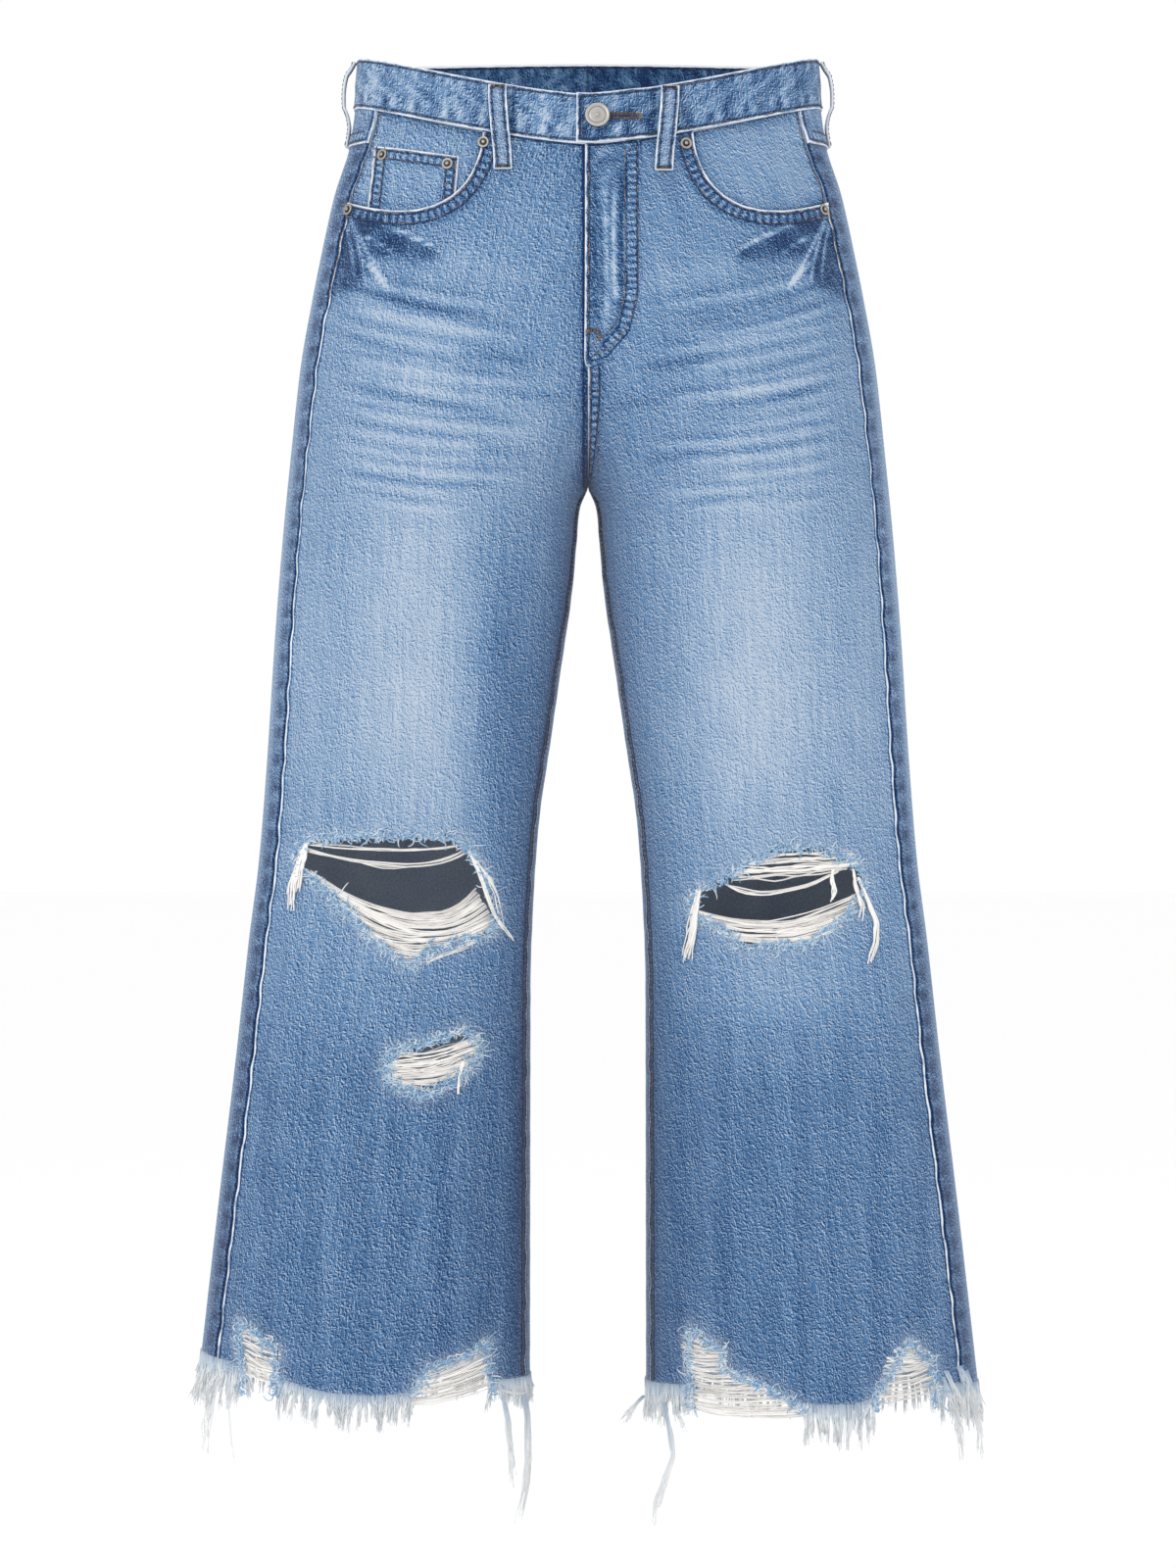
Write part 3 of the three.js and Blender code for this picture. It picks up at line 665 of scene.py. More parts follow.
# ---------------------------------------------------------------- front panels
# Two panels of the same denim from the side seam to the centre and the inseam, the left one lapped
# over the right at the fly. The pocket mouths are cut out of them, the knees and one shin are
# ripped, and their worn hems have notches where only the white cross threads are left.
POCKET_Z = -45.0
FLY = {"lap": -2.0, "foot": -204, "width": 36}
POCKET_MOUTH = [(73.5, -44), (77, -88), (110, -114), (173, -88)]
KNEE_RIP = {
    "right": [
        (206, -550), (196, -540), (150, -537), (96, -539), (86, -545), (72, -566), (65, -590),
        (68, -605), (98, -612), (115, -618), (123, -628), (144, -614), (168, -591), (190, -567),
        (204, -558),
    ],
    "left": [
        (73, -584), (78, -576), (104, -563), (130, -547), (162, -545), (190, -558), (194, -574),
        (180, -593), (154, -612), (110, -615), (93, -601), (76, -593),
    ],
}
SHIN_RIP = [
    (141, -702), (136, -688), (105, -680), (88, -674), (76, -685), (82, -699), (102, -713),
    (115, -718), (134, -712),
]
HEM_NOTCHES = {
    "right": [
        [(243, -980), (243, -908), (245, -880), (219, -898), (221, -980)],
        [(121, -980), (121, -926), (111, -911), (78, -901), (71, -894), (67, -980)],
    ],
    "left": [
        [
            (75, -980), (72, -905), (71, -885), (94, -899), (94, -912), (128, -925), (150, -938),
            (150, -980),
        ],
        [(203, -980), (203, -928), (226, -893), (242, -908), (248, -980)],
    ],
}


def bezier(knots, count):
    t = np.linspace(0, 1, count)[:, None]
    a, b, c, d = (np.array(knot, float) for knot in knots)
    return (1 - t) ** 3 * a + 3 * (1 - t) ** 2 * t * b + 3 * (1 - t) * t * t * c + t**3 * d


MOUTH_LINE = bezier(POCKET_MOUTH, 40)


def front_top(x):
    """Height of the front panel's top edge, just under the waistband."""
    return -53 + 33 * np.clip(x / SIDE_X, 0, 1) ** 1.4


def inside_depth(x, z, outline, loop=True):
    """Distance from an outline in the front view: positive inside it, negative outside."""
    corners = np.array(outline, float)
    starts = corners if loop else corners[:-1]
    ends = np.roll(corners, -1, axis=0) if loop else corners[1:]
    nearest = np.full(np.shape(x), 1e9)
    inside = np.zeros(np.shape(x), bool)
    for (ax, az), (bx, bz) in zip(starts, ends):
        dx, dz = bx - ax, bz - az
        t = np.clip(((x - ax) * dx + (z - az) * dz) / (dx * dx + dz * dz), 0, 1)
        nearest = np.minimum(nearest, np.hypot(x - ax - t * dx, z - az - t * dz))
        rises = (az > z) != (bz > z)
        inside ^= rises & (x < ax + (z - az) * dx / (bz - az if bz != az else 1e-9))
    return np.where(inside, nearest, -nearest) if loop else nearest


def beside(x, z, line):
    """Distance from an open line in the front view, and how far along it the nearest place is."""
    corners = np.array(line, float)
    nearest = np.full(np.shape(x), 1e9)
    place = np.zeros(np.shape(x))
    run = 0.0
    for (ax, az), (bx, bz) in zip(corners[:-1], corners[1:]):
        dx, dz = bx - ax, bz - az
        length = np.hypot(dx, dz)
        t = np.clip(((x - ax) * dx + (z - az) * dz) / length**2, 0, 1)
        off = np.hypot(x - ax - t * dx, z - az - t * dz)
        place = np.where(off < nearest, run + t * length, place)
        nearest = np.minimum(nearest, off)
        run += length
    return nearest, place


def rag(x, z):
    """Small uneven bites along a torn edge."""
    wave = np.sin(x / 2.3 + 1.7 * np.sin(z / 3.7)) + np.sin(z / 1.9 + 1.3 * np.sin(x / 4.1))
    return 0.7 * wave + 0.5 * np.sin(x / 1.1 + z / 1.4)


def snapped(x, z, depth):
    """Move the points just inside an outline out to its edge, down the slope of its depth."""
    for _ in range(3):
        here = depth(x, z)
        step = 0.05
        gx = (depth(x + step, z) - here) / step
        gz = (depth(x, z + step) - here) / step
        size = np.maximum(np.hypot(gx, gz), 0.3)
        move = np.where(here > 0, here, 0) / size**2
        x, z = x - gx * move, z - gz * move
    return x, z


# The deepest whiskers worn across the hips: start, end, bow, width and how much darker or paler.
WHISKERS = [
    ((160, -152), (57, -177), -3, 3.8, -0.2), ((96, -196), (34, -206), -2, 4.6, -0.18),
    ((178, -212), (57, -241), -6, 3.6, -0.18), ((72, -224), (12, -231), -2, 3.6, -0.12),
    ((84, -264), (34, -269), -2, 4.0, -0.14), ((176, -160), (57, -189), -5, 5.5, 0.1),
    ((178, -202), (86, -225), -5, 4.2, 0.1), ((110, -130), (24, -150), -3, 9.0, 0.08),
]
# White cracks in the dark cloth that fan out from the pocket's lower corner.
CORNER_CRACKS = [
    ((169, -96), (137, -158), -2), ((170, -98), (156, -152), 2), ((172, -98), (164, -148), 1),
    ((164, -112), (132, -132), 2), ((150, -106), (98, -132), 2), ((160, -128), (140, -152), -1),
]
DARK_CORNER = [
    (180, -96), (150, -103), (124, -116), (104, -127), (108, -135), (132, -132), (150, -130),
    (158, -150), (182, -158),
]
FRONT_LEVELS = [-960, -900, -800, -720, -680, -640, -600, -450, -300, -200, -110, -40]
FRONT_TONES = [0.42, 0.41, 0.43, 0.45, 0.5, 0.55, 0.59, 0.63, 0.57, 0.57, 0.55, 0.5]
# Patches that are paler or darker than their level: how much on the left and right legs, the
# middle and the radii.
FRONT_PATCHES = [
    (0.14, 0.056, (137, -640), (50, 36)), (0.12, 0.12, (120, -210), (70, 60)),
    (0.06, 0.06, (80, -130), (50, 34)), (0.06, 0.06, (196, -420), (16, 150)),
    (-0.05, -0.26, (62, -440), (26, 110)), (0, 0.12, (40, -262), (36, 40)),
    (0, -0.07, (112, -640), (30, 26)), (-0.06, 0, (110, -200), (90, 90)),
]
# The fly's worn ridges and dark hollows: start, end, bow, width and how much paler or darker.
FLY_STROKES = [
    ((28, -84), (27, -150), 1.5, 1.5, 0.4), ((8, -90), (10, -180), -1.0, 1.2, -0.24),
    ((15.6, -70), (16.4, -160), 1.0, 1.4, -0.22), ((24, -62), (24, -180), 1.0, 2.6, -0.3),
    ((5, -70), (6, -192), 0.8, 2.2, -0.2),
]
FLY_FLAP = [(-20, 0), (FLY["width"], 0), (FLY["width"], -160), (24, -196), (-20, -208)]


def front_fade_and_shade(side, x, z, from_side, from_inner):
    """How pale or dark the front is: worn whiskers at the hips, pale thighs and knees, darker by
    the seams, down the middle and towards the inseam, with painted shade under the waistband and,
    on the right panel, beside the fly's edge.
    """
    shift = 0 if side == "right" else 4
    tone = np.interp(z, FRONT_LEVELS, FRONT_TONES) + 0.28 * gauss(x, z, (116, -402), (64, 160), 3)
    for on_left, on_right, middle, radii in FRONT_PATCHES:
        tone += (on_left if side == "left" else on_right) * gauss(x, z, middle, radii)
    for start, end, bow, width, rise in WHISKERS:
        tone += rise * stroke(x, z + shift, start, end, bow, width)
    for number in range(14):
        outer_x, outer_z = 186 - 3 * (number % 3), -130 - 12.4 * number
        inner_x, inner_z = 56 + 26 * np.sin(number * 2.1 + shift), -164 - 10.6 * number
        darker = 0.13 + 0.06 * np.sin(number * 1.7 + shift)
        tone -= darker * stroke(x, z, (outer_x, outer_z), (inner_x, inner_z), -5, 2.7)
        tone += 0.13 * stroke(x, z, (outer_x, outer_z - 6), (inner_x, inner_z - 5), -5, 3.4)
    corner = inside_depth(x, z, DARK_CORNER)
    patches = 0.85 + 0.15 * np.sin(x / 5.0 + 1.2 * np.sin(z / 6.0)) + 0.12 * np.sin(z / 4.0 + x / 7.0)
    tone -= below(-corner, -1, 2.2, 0.6) * patches
    for start, end, bow in CORNER_CRACKS:
        tone += 0.66 * stroke(x, z, start, end, bow, 1.2)
    inner_dark = 0.5 if side == "right" else 0.3
    tone -= inner_dark * np.exp(-from_inner / 22) * np.clip((-300 - z) / 60, 0, 1)
    tone -= 0.1 * hump(x, 0, 15) * (z < -60) * (z > -300)
    tone -= 0.04 * stroke(x, z, (112, -690), (98, -935), 3, 9)
    tone += 0.04 * stroke(x, z, (178, -700), (186, -930), 0, 8)
    tone += 0.1 * ripple(z, 22, shift) * np.exp(-from_side / 7)
    tone -= (z < -290) * below(from_inner, 8.5, 0.8, 0.3)
    tone += 0.22 * (z < -300) * hump(from_inner, 10.5, 1.2)
    tone += 0.04 * ripple(x, 29, shift) * np.clip((-640 - z) / 80, 0, 1)
    # Painted shade just under the waistband.
    tone -= 0.1 * np.exp(-np.maximum(front_top(x) - 1 - z, 0) / 9)
    # On the right panel, a painted shadow of the left panel's fly edge.
    if side == "right":
        return tone - 0.35 * hump(x, 1.5, 3.4) * (z > -292)
    flap = below(-inside_depth(x, z, FLY_FLAP), 0, 1.0)
    tone -= 0.12 * flap * (0.6 + 0.4 * ripple(z, 17, 1))
    tone += 0.38 * stroke(x, z, (11, -62), (12, -192), -1.5, 3.4) * (0.8 + 0.35 * ripple(z, 31))
    tone += 0.5 * stroke(x, z, (19, -76), (20, -176), 1.5, 1.7) * (0.8 + 0.4 * ripple(z, 23, 2))
    for start, end, bow, width, rise in FLY_STROKES:
        tone += rise * stroke(x, z, start, end, bow, width)
    return tone


def front_crack(side, x, z):
    """Where the cloth is creased hard enough for white cracks in the indigo."""
    corner = inside_depth(x, z, DARK_CORNER)
    fly = (x < 30) * np.exp(-(((z + 130) / 90) ** 4)) * (1.0 if side == "left" else 0.3)
    belt = np.exp(-np.maximum(-50 - z, 0) / 12)
    return below(-corner, 4, 4.0, 0.12) + 0.4 * fly + 0.5 * belt


def front_rise(side, x, z):
    """Folded edges that lie on the front: the pocket hem, the fly and the edge of each rip."""
    mouth = inside_depth(x, z, MOUTH_LINE, loop=False)
    height = below(mouth, 10.5, 0.8) + 0.25 * ripple(x - z, 17) * np.exp(-mouth / 9)
    if side == "right":
        return height
    height += 1.7 * (z > FLY["foot"] - 4) * below(x, 4, 2.5)
    height += below(-inside_depth(x, z, FLY_FLAP), 0, 1.2, 0.8)
    return height + 0.7 * ripple(z, 24, 1) * gauss(x, z, (16, -130), (12, 70))


def front_point(side, z, angle):
    """Points on the front panel's own surface, hems and laps included."""
    place = on_form(np.asarray(z, float), np.asarray(angle, float))
    return on_cloth(side, z, angle, front_rise(side, place[..., 0], z))


def lapped_end(z):
    """The left panel's inner edge, which laps a little past the centre down to the fly's foot."""
    low = FLY["foot"] - 10
    past = front_angle(FLY["lap"], np.maximum(z, low))
    return front_end(z) + (past - front_end(np.maximum(z, low))) * np.clip((z - low) / 10, 0, 1)


def all_corners(marked):
    """The faces of a grid of points all of whose corners are marked."""
    return marked[:-1, :-1] & marked[1:, :-1] & marked[:-1, 1:] & marked[1:, 1:]


# Shares down the panel and rows in each: close where it is whiskered, ripped or frayed.
ROW_SPANS = [
    (0, 0.285, 92), (0.285, 0.545, 42), (0.545, 0.662, 46), (0.662, 0.7, 7), (0.7, 0.77, 28),
    (0.77, 0.93, 26), (0.93, 1, 27),
]
FRONT_WIDTH = 245
for side, sign in SIDES.items():
    end = lapped_end if side == "left" else front_end
    fine_end = 44 if side == "left" else 9
    near = np.arange(0, 45, 1.6) / FRONT_WIDTH
    between = np.linspace(45 / FRONT_WIDTH, 1 - fine_end / FRONT_WIDTH - 0.005, 50)
    shares = np.concatenate([near, between, 1 - np.arange(0, fine_end, 1.5)[::-1] / FRONT_WIDTH])
    rows = np.concatenate([np.linspace(*span, endpoint=False) for span in ROW_SPANS] + [[1.0]])
    top = front_top(on_form(POCKET_Z, level_angles(POCKET_Z, seam_angle, end, shares))[:, 0])
    foot_x = on_form(HEM_Z, level_angles(HEM_Z, seam_angle, end, shares))[:, 0]
    foot = hem_line(foot_x, side) + hem_rag(foot_x, side)
    z, angle, across, width = panel_grid(top, foot, seam_angle, end, shares, rows)
    x = on_form(z, angle)[..., 0]
    mouth = [*bezier(POCKET_MOUTH, 24), (240, POCKET_MOUTH[3][1]), (240, 60), (73.5, 60)]
    holes = [mouth, KNEE_RIP[side], *HEM_NOTCHES[side]] + ([SHIN_RIP] if side == "right" else [])
    gone = np.zeros(z.shape, bool)
    torn = np.full(z.shape, -FAR)
    new_x, new_z = x.copy(), z.copy()
    for outline in holes:
        ragged = 0.0 if outline is mouth else 1.0

        def depth(px, pz, outline=outline, ragged=ragged):
            return inside_depth(px, pz, outline) + ragged * rag(px, pz)

        here = depth(x, z)
        gone |= here > 0
        near = (here > 0) & (here < 6)
        new_x[near], new_z[near] = snapped(x[near], z[near], depth)
        if ragged:
            torn = np.maximum(torn, here)
    moved = (new_x != x) | (new_z != z)
    angle = np.where(moved, front_angle(new_x, new_z), angle)
    x, z = new_x, new_z
    inner_edge = width - across
    mouth_edge, mouth_place = beside(x, z, MOUTH_LINE)
    on_leg = z < -290
    if side == "left":
        curve = [(FLY["width"], -50), (FLY["width"], -160), (30, -186), (14, -204), (-2, -208)]
        fly_edge, fly_place = beside(x, z, curve)
        inside = inside_depth(x, z, [*curve, (-20, -208), (-20, -50)]) > 0
        fly_edge = np.where(inside, fly_edge, -fly_edge)
        second = np.where(on_leg | (z < FLY["foot"]), 8.0, 0)
        seams = [
            (inner_edge * 0.9, z, second, np.where(on_leg, 0.5, 1)),
            (np.where(fly_edge > -1.5, fly_edge + 0.9, FAR), fly_place, 10.0, 0.0),
        ]
    else:
        seams = [
            (np.where(on_leg, inner_edge * 0.9, FAR), z, 8.0, 0.5),
            # A groove of painted shade beside the left panel's fly edge.
            (np.where(on_leg, FAR, np.abs(x - 0.6)), z, 0, 0.0),
        ]
    # The side seam: a white line along its ridge, with a groove of painted shade on each side.
    side_seam = (np.where(across < 3, 2.7 - 0.9 * across, (across - 3) * 1.6), z, 0, 1.2)
    # A groove of painted shade just under the waistband's lower edge.
    band_shadow_line = (top[None, :] - z + 1.6, x, 0, 0.0)
    at_hem = 0.6 * np.clip(1 - (z - hem_line(x, side)) / 5, 0, 1)
    tints = {
        "fade_and_shade": front_fade_and_shade(side, x, z, across, inner_edge) - below(mouth_edge, 10.8, 0.8, 0.14),
        "worn": 0.7 * np.exp(np.minimum(torn, 0) / 3.2) + at_hem,
        "crack": front_crack(side, x, z),
        **sewn(side_seam, (mouth_edge, mouth_place, 9.8, 1.0), band_shadow_line, *seams),
    }
    point, _ = front_point(side, z, angle)
    front = sheet_of("front_panel_" + side, point, (across * sign, z), tints, sign)
    drop_faces(front, all_corners(gone)[:, ::sign].ravel())
    thicken(front, CLOTH, CLOTH_FINISHES)
    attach(front, "root")
    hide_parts("front_" + side)

# ---------------------------------------------------------------- yokes
# A shaped strip of the same denim across the back, between the waistband and each back panel.
# Its lower edge is lapped over the panel and sewn down flat.
BAND_HEIGHT = 36
BAND_Z = -30.0
GAP = 0.3


def band_top(x, behind):
    """Height of the waistband's top edge: it dips in front and rises a little at the back."""
    share = np.clip(np.abs(x) / SIDE_X, 0, 1)
    return np.where(behind, 16 + 8 * (1 - share**2), -17 + 33 * share**1.4)


def yoke_point(side, z, angle, from_foot, across):
    """Points on the yoke, whose felled lower and centre edges stand up a little."""
    lap = below(from_foot, 9.5, 0.8, 0.9)
    if side == "left":
        lap = np.maximum(lap, below(across, 9.5, 0.8, 0.8))
    return on_cloth(side, z, angle, 0.5 + lap)


for side, sign in SIDES.items():
    shares = edge_shares(215, 1.4, 3.0)
    high_angle = level_angles(BAND_Z, back_start, back_end, shares)
    low_angle = level_angles(YOKE_Z, back_start, back_end, shares)
    top = band_top(on_form(BAND_Z, high_angle)[:, 0], high_angle < 2 * np.pi) - BAND_HEIGHT - GAP
    foot = yoke_seam(on_form(YOKE_Z, low_angle)[:, 0]) + GAP
    z, angle, across, width = panel_grid(top, foot, back_start, back_end, shares, np.linspace(0, 1, 44))
    from_foot = z - foot[None, :]
    point, _ = yoke_point(side, z, angle, from_foot, across)
    tones = 0.55 + 0.14 * ripple(across, 15, 1.0) * np.exp(-from_foot / 10)
    tones += 0.12 * ripple(across, 12, 2.0) * np.exp(-(top[None, :] - z) / 8)
    tones += 0.17 * ripple(z, 21, 1.0) * np.exp(-(width - across) / 10)
    lower, outer_seam = (from_foot, across, 9.0, 0.9), (width - across, z, 0, 1.0)
    seams = sewn(lower, outer_seam, (across, z, 9.0 if sign > 0 else 0, 0.9))
    yoke = sheet_of("yoke_panel_" + side, point, (across * sign, z), {"fade_and_shade": tones, **seams}, sign)
    thicken(yoke, CLOTH, CLOTH_FINISHES)
    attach(yoke, "root")
    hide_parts("yoke_" + side)

# ---------------------------------------------------------------- back pockets
# Two plain patch pockets sewn on the back panels, with a turned top hem and a pointed foot.
BACK_POCKET = [(34, -118), (146, -104), (152, -214), (98, -243), (42, -224)]
POCKET_CLOTH = 1.3


def places_along(at, run, line):
    """The places on a line at distances along it, where run is the distance of each knot."""
    return np.stack([np.interp(at, run, values) for values in line.T], -1)


def patch_grid(corners, columns, rows):
    """Plan places in a patch from its top edge's two corners round to its foot's corners."""
    s = np.linspace(0, 1, columns)[None, :, None]
    t = np.linspace(0, 1, rows)[:, None, None]
    corners = np.array(corners, float)
    foot = corners[2:][::-1]
    places = np.linspace(0, 1, len(foot))
    low = places_along(s[..., 0], places, foot)
    high = corners[0] + (corners[1] - corners[0]) * s
    plan = high + (low - high) * t
    return plan[..., 0], plan[..., 1]


def back_pocket_point(side, x, z):
    edge = inside_depth(x, z, BACK_POCKET)
    hem = inside_depth(x, z, BACK_POCKET[:2], loop=False)
    rise = below(edge, 8.0, 0.8, 0.5) + below(hem, 13.0, 0.8, 0.5)
    belly = 1.2 * np.clip(edge / 30, 0, 1)
    return on_cloth(side, z, back_angle(x, z), 0.5 + GAP + POCKET_CLOTH + rise + belly)


for side, sign in SIDES.items():
    x, z = patch_grid(BACK_POCKET, 66, 72)
    point, _ = back_pocket_point(side, x, z)
    edge = inside_depth(x, z, BACK_POCKET)
    hem = inside_depth(x, z, BACK_POCKET[:2], loop=False)
    round_foot = beside(x, z, [*BACK_POCKET[1:], BACK_POCKET[0]])
    tints = {
        "fade_and_shade": 0.66 + 0.1 * gauss(x, z, (92, -175), (40, 40)) - 0.12 * hump(edge, 10, 3),
        "worn": 0.3 * hump(hem, 13, 1.5),
        **sewn((*round_foot, 8.4, 1.0), (*beside(x, z, BACK_POCKET[:2]), 13.0, 1.0)),
    }
    pocket = sheet_of("back_patch_" + side, point, (x * sign + PATTERN_X["pocket"], z), tints, sign)
    thicken(pocket, POCKET_CLOTH, CLOTH_FINISHES)
    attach(pocket, "root")
    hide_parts("back_pocket_" + side)

# ---------------------------------------------------------------- pocket facings and coin pocket
# Behind each front pocket's mouth lies a facing of the same denim, sewn in with the waistband and
# the side seam. The right one carries a small coin pocket with a turned top edge.
FACING_FOOT = [(58, -60), (62, -84), (70, -100), (90, -115), (112, -122), (146, -120), (185, -112)]
FACING_Z = -100.0
UNDER_FRONT = {"facing": 3.1, "coin": 1.75, "tape": 1.8, "shield": 2.9}
COIN_POCKET = [(91, -60), (152, -49), (158, -113), (95, -112)]


def facing_end(z):
    return front_angle(FACING_FOOT[0][0], z)


def coin_point(x, z):
    edge = inside_depth(x, z, COIN_POCKET)
    rise = below(edge, 8.0, 0.7, 0.35)
    return on_cloth("right", z, front_angle(x, z), rise - UNDER_FRONT["coin"])


for side, sign in SIDES.items():
    shares = np.linspace(0, 1, 66)
    high_angle = level_angles(POCKET_Z, seam_angle, facing_end, shares)
    low_angle = level_angles(FACING_Z, seam_angle, facing_end, shares)
    top = band_top(on_form(POCKET_Z, high_angle)[:, 0], False) - BAND_HEIGHT - GAP
    foot = np.interp(on_form(FACING_Z, low_angle)[:, 0], *zip(*FACING_FOOT))
    z, angle, across, width = panel_grid(top, foot, seam_angle, facing_end, shares, np.linspace(0, 1, 58))
    lift = 2.9 * hump(across, 0, 7) * np.clip((z + 92) / 12, 0, 1)
    point, _ = on_cloth(side, z, angle, lift - UNDER_FRONT["facing"])
    mouth = inside_depth(on_form(z, angle)[..., 0], z, MOUTH_LINE, loop=False)
    # Painted shade under the pocket's mouth edge, with a dark shadow line right along it, and under the
    # waistband.
    tones = 0.66 - 0.14 * np.exp(-mouth / 7) - 0.24 * np.exp(-np.maximum(top[None, :] - z, 0) / 4)
    tones -= 0.4 * hump(mouth, 0, 1.6)
    tones += 0.12 * ripple(z, 14, sign) * np.exp(-across / 8)
    tints = {"fade_and_shade": tones, **sewn((across, z, 0, 1.0))}
    pattern = (across * sign + PATTERN_X["facing"], z)
    facing = sheet_of("facing_" + side, point, pattern, tints, sign)
    thicken(facing, 1.2, CLOTH_FINISHES)
    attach(facing, "root")
    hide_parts("pocket_facing_" + side)

x, z = patch_grid(COIN_POCKET, 52, 52)
point, _ = coin_point(x, z)
edge = inside_depth(x, z, COIN_POCKET)
mouth = inside_depth(x, z, MOUTH_LINE, loop=False)
# Painted shade under the pocket's mouth edge.
tones = 0.66 - 0.16 * np.exp(-mouth / 8) - below(edge, 9, 0.8, 0.1)
seams = sewn((*beside(x, z, [*COIN_POCKET, COIN_POCKET[0]]), 8.4, 1.0))
coin = sheet_of("coin_patch", point, (x + PATTERN_X["coin"], z), {"fade_and_shade": tones, **seams})
thicken(coin, 1.0, CLOTH_FINISHES)
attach(coin, "root")
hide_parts("coin_pocket")

# ---------------------------------------------------------------- fly shield and zip
# Behind the lapped fly hang a shield of denim and the zip's woven tape; the zip's teeth are not
# made. The zip is closed, so both stay out of sight behind the left front panel.
SHIELD = [(0.4, -54), (38, -52), (38, -180), (20, -202), (0.4, -206)]
ZIP_TAPE = [(8, -54), (34, -52), (34, -176), (22, -190), (8, -190)]

for name, node, outline, depth, cloth, cut in (
    ("fly_underlap", "fly_shield", SHIELD, UNDER_FRONT["shield"], 1.2, (0.038, 0.154)),
    ("zip_tape", "zip", ZIP_TAPE, UNDER_FRONT["tape"], 0.7, (0.026, 0.1385)),
):
    x, z = patch_grid(outline, 26, 90)
    point, _ = on_cloth("left", z, front_angle(x, z), -depth)
    tints = {"fade_and_shade": 0.3, "worn": 0.5 * np.exp(-inside_depth(x, z, outline) / 1.5)}
    under = sheet_of(name, point, (x + PATTERN_X["fly"], z), tints, -1)
    thicken(under, cloth, CLOTH_FINISHES)
    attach(under, "root")
    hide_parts(node)

# ---------------------------------------------------------------- waistband
# A folded strip of denim round the waist in two halves, joined at the centre back. The left half
# laps over the right at the front, where its buttonhole is. Its edges have worn white.
BAND_PROUD = 1.6
BAND_CLOTH = 2.6
BAND_ENDS = {"left": -8, "right": -25}
TAB_LIFT = 3.0
CENTRE_BACK = 0.0012 - np.pi / 2
BUTTONHOLE = [
    (9, -33.2), (30, -33.0), (33.5, -33.2), (34.3, -33.9), (33.5, -34.6), (30, -34.8), (9, -34.6),
]


def band_point(side, angle, down, out=0.0):
    """Points on the waistband, measured down from its top edge, and its outward directions."""
    place_x = on_form(np.full(np.shape(angle), BAND_Z), angle)[..., 0]
    z = band_top(place_x, angle < 0) - down
    normal = normal_on_form(z, angle)
    lap = np.clip((place_x - 28) / 18, 0, 1)
    lift = TAB_LIFT * (1 - lap * lap * (3 - 2 * lap)) * (angle > 0) if side == "left" else 0.0
    edge = np.minimum(np.minimum(down, BAND_HEIGHT - down), 1.4) / 1.4
    rounded = 1.0 * (1 - np.sqrt(np.clip(1 - (1 - edge) ** 2, 0, 1)))
    near_edges = np.exp(-down / 5) + np.exp(-(BAND_HEIGHT - down) / 5)
    pucker = 0.22 * ripple(place_x + 0.7 * down, 11, 1.0) * near_edges
    ridge = 0.35 * ripple(place_x + 1.4 * down, 37, 2.0) * np.sin(np.pi * down / BAND_HEIGHT)
    height = BAND_PROUD + lift + out - rounded + pucker + ridge
    return mirrored(side, on_form(z, angle) + normal * height[..., None], normal)


def band_angles(side, count, first=0.0, last=0.0):
    """Angles along half the waistband, from its front end round to the centre back."""
    start = front_angle(BAND_ENDS[side], BAND_Z)
    shares = np.linspace(0, 1, count)
    angles, length = even_angles(BAND_Z, start, CENTRE_BACK, shares)
    wanted = np.linspace(first, length - last, count)
    return np.interp(wanted, shares * length, angles), wanted


# The band's inside: the same denim, made darker as painted shade.
band_lining_shaded = denim("waistband_lining_shaded", 0.3, -0.26)

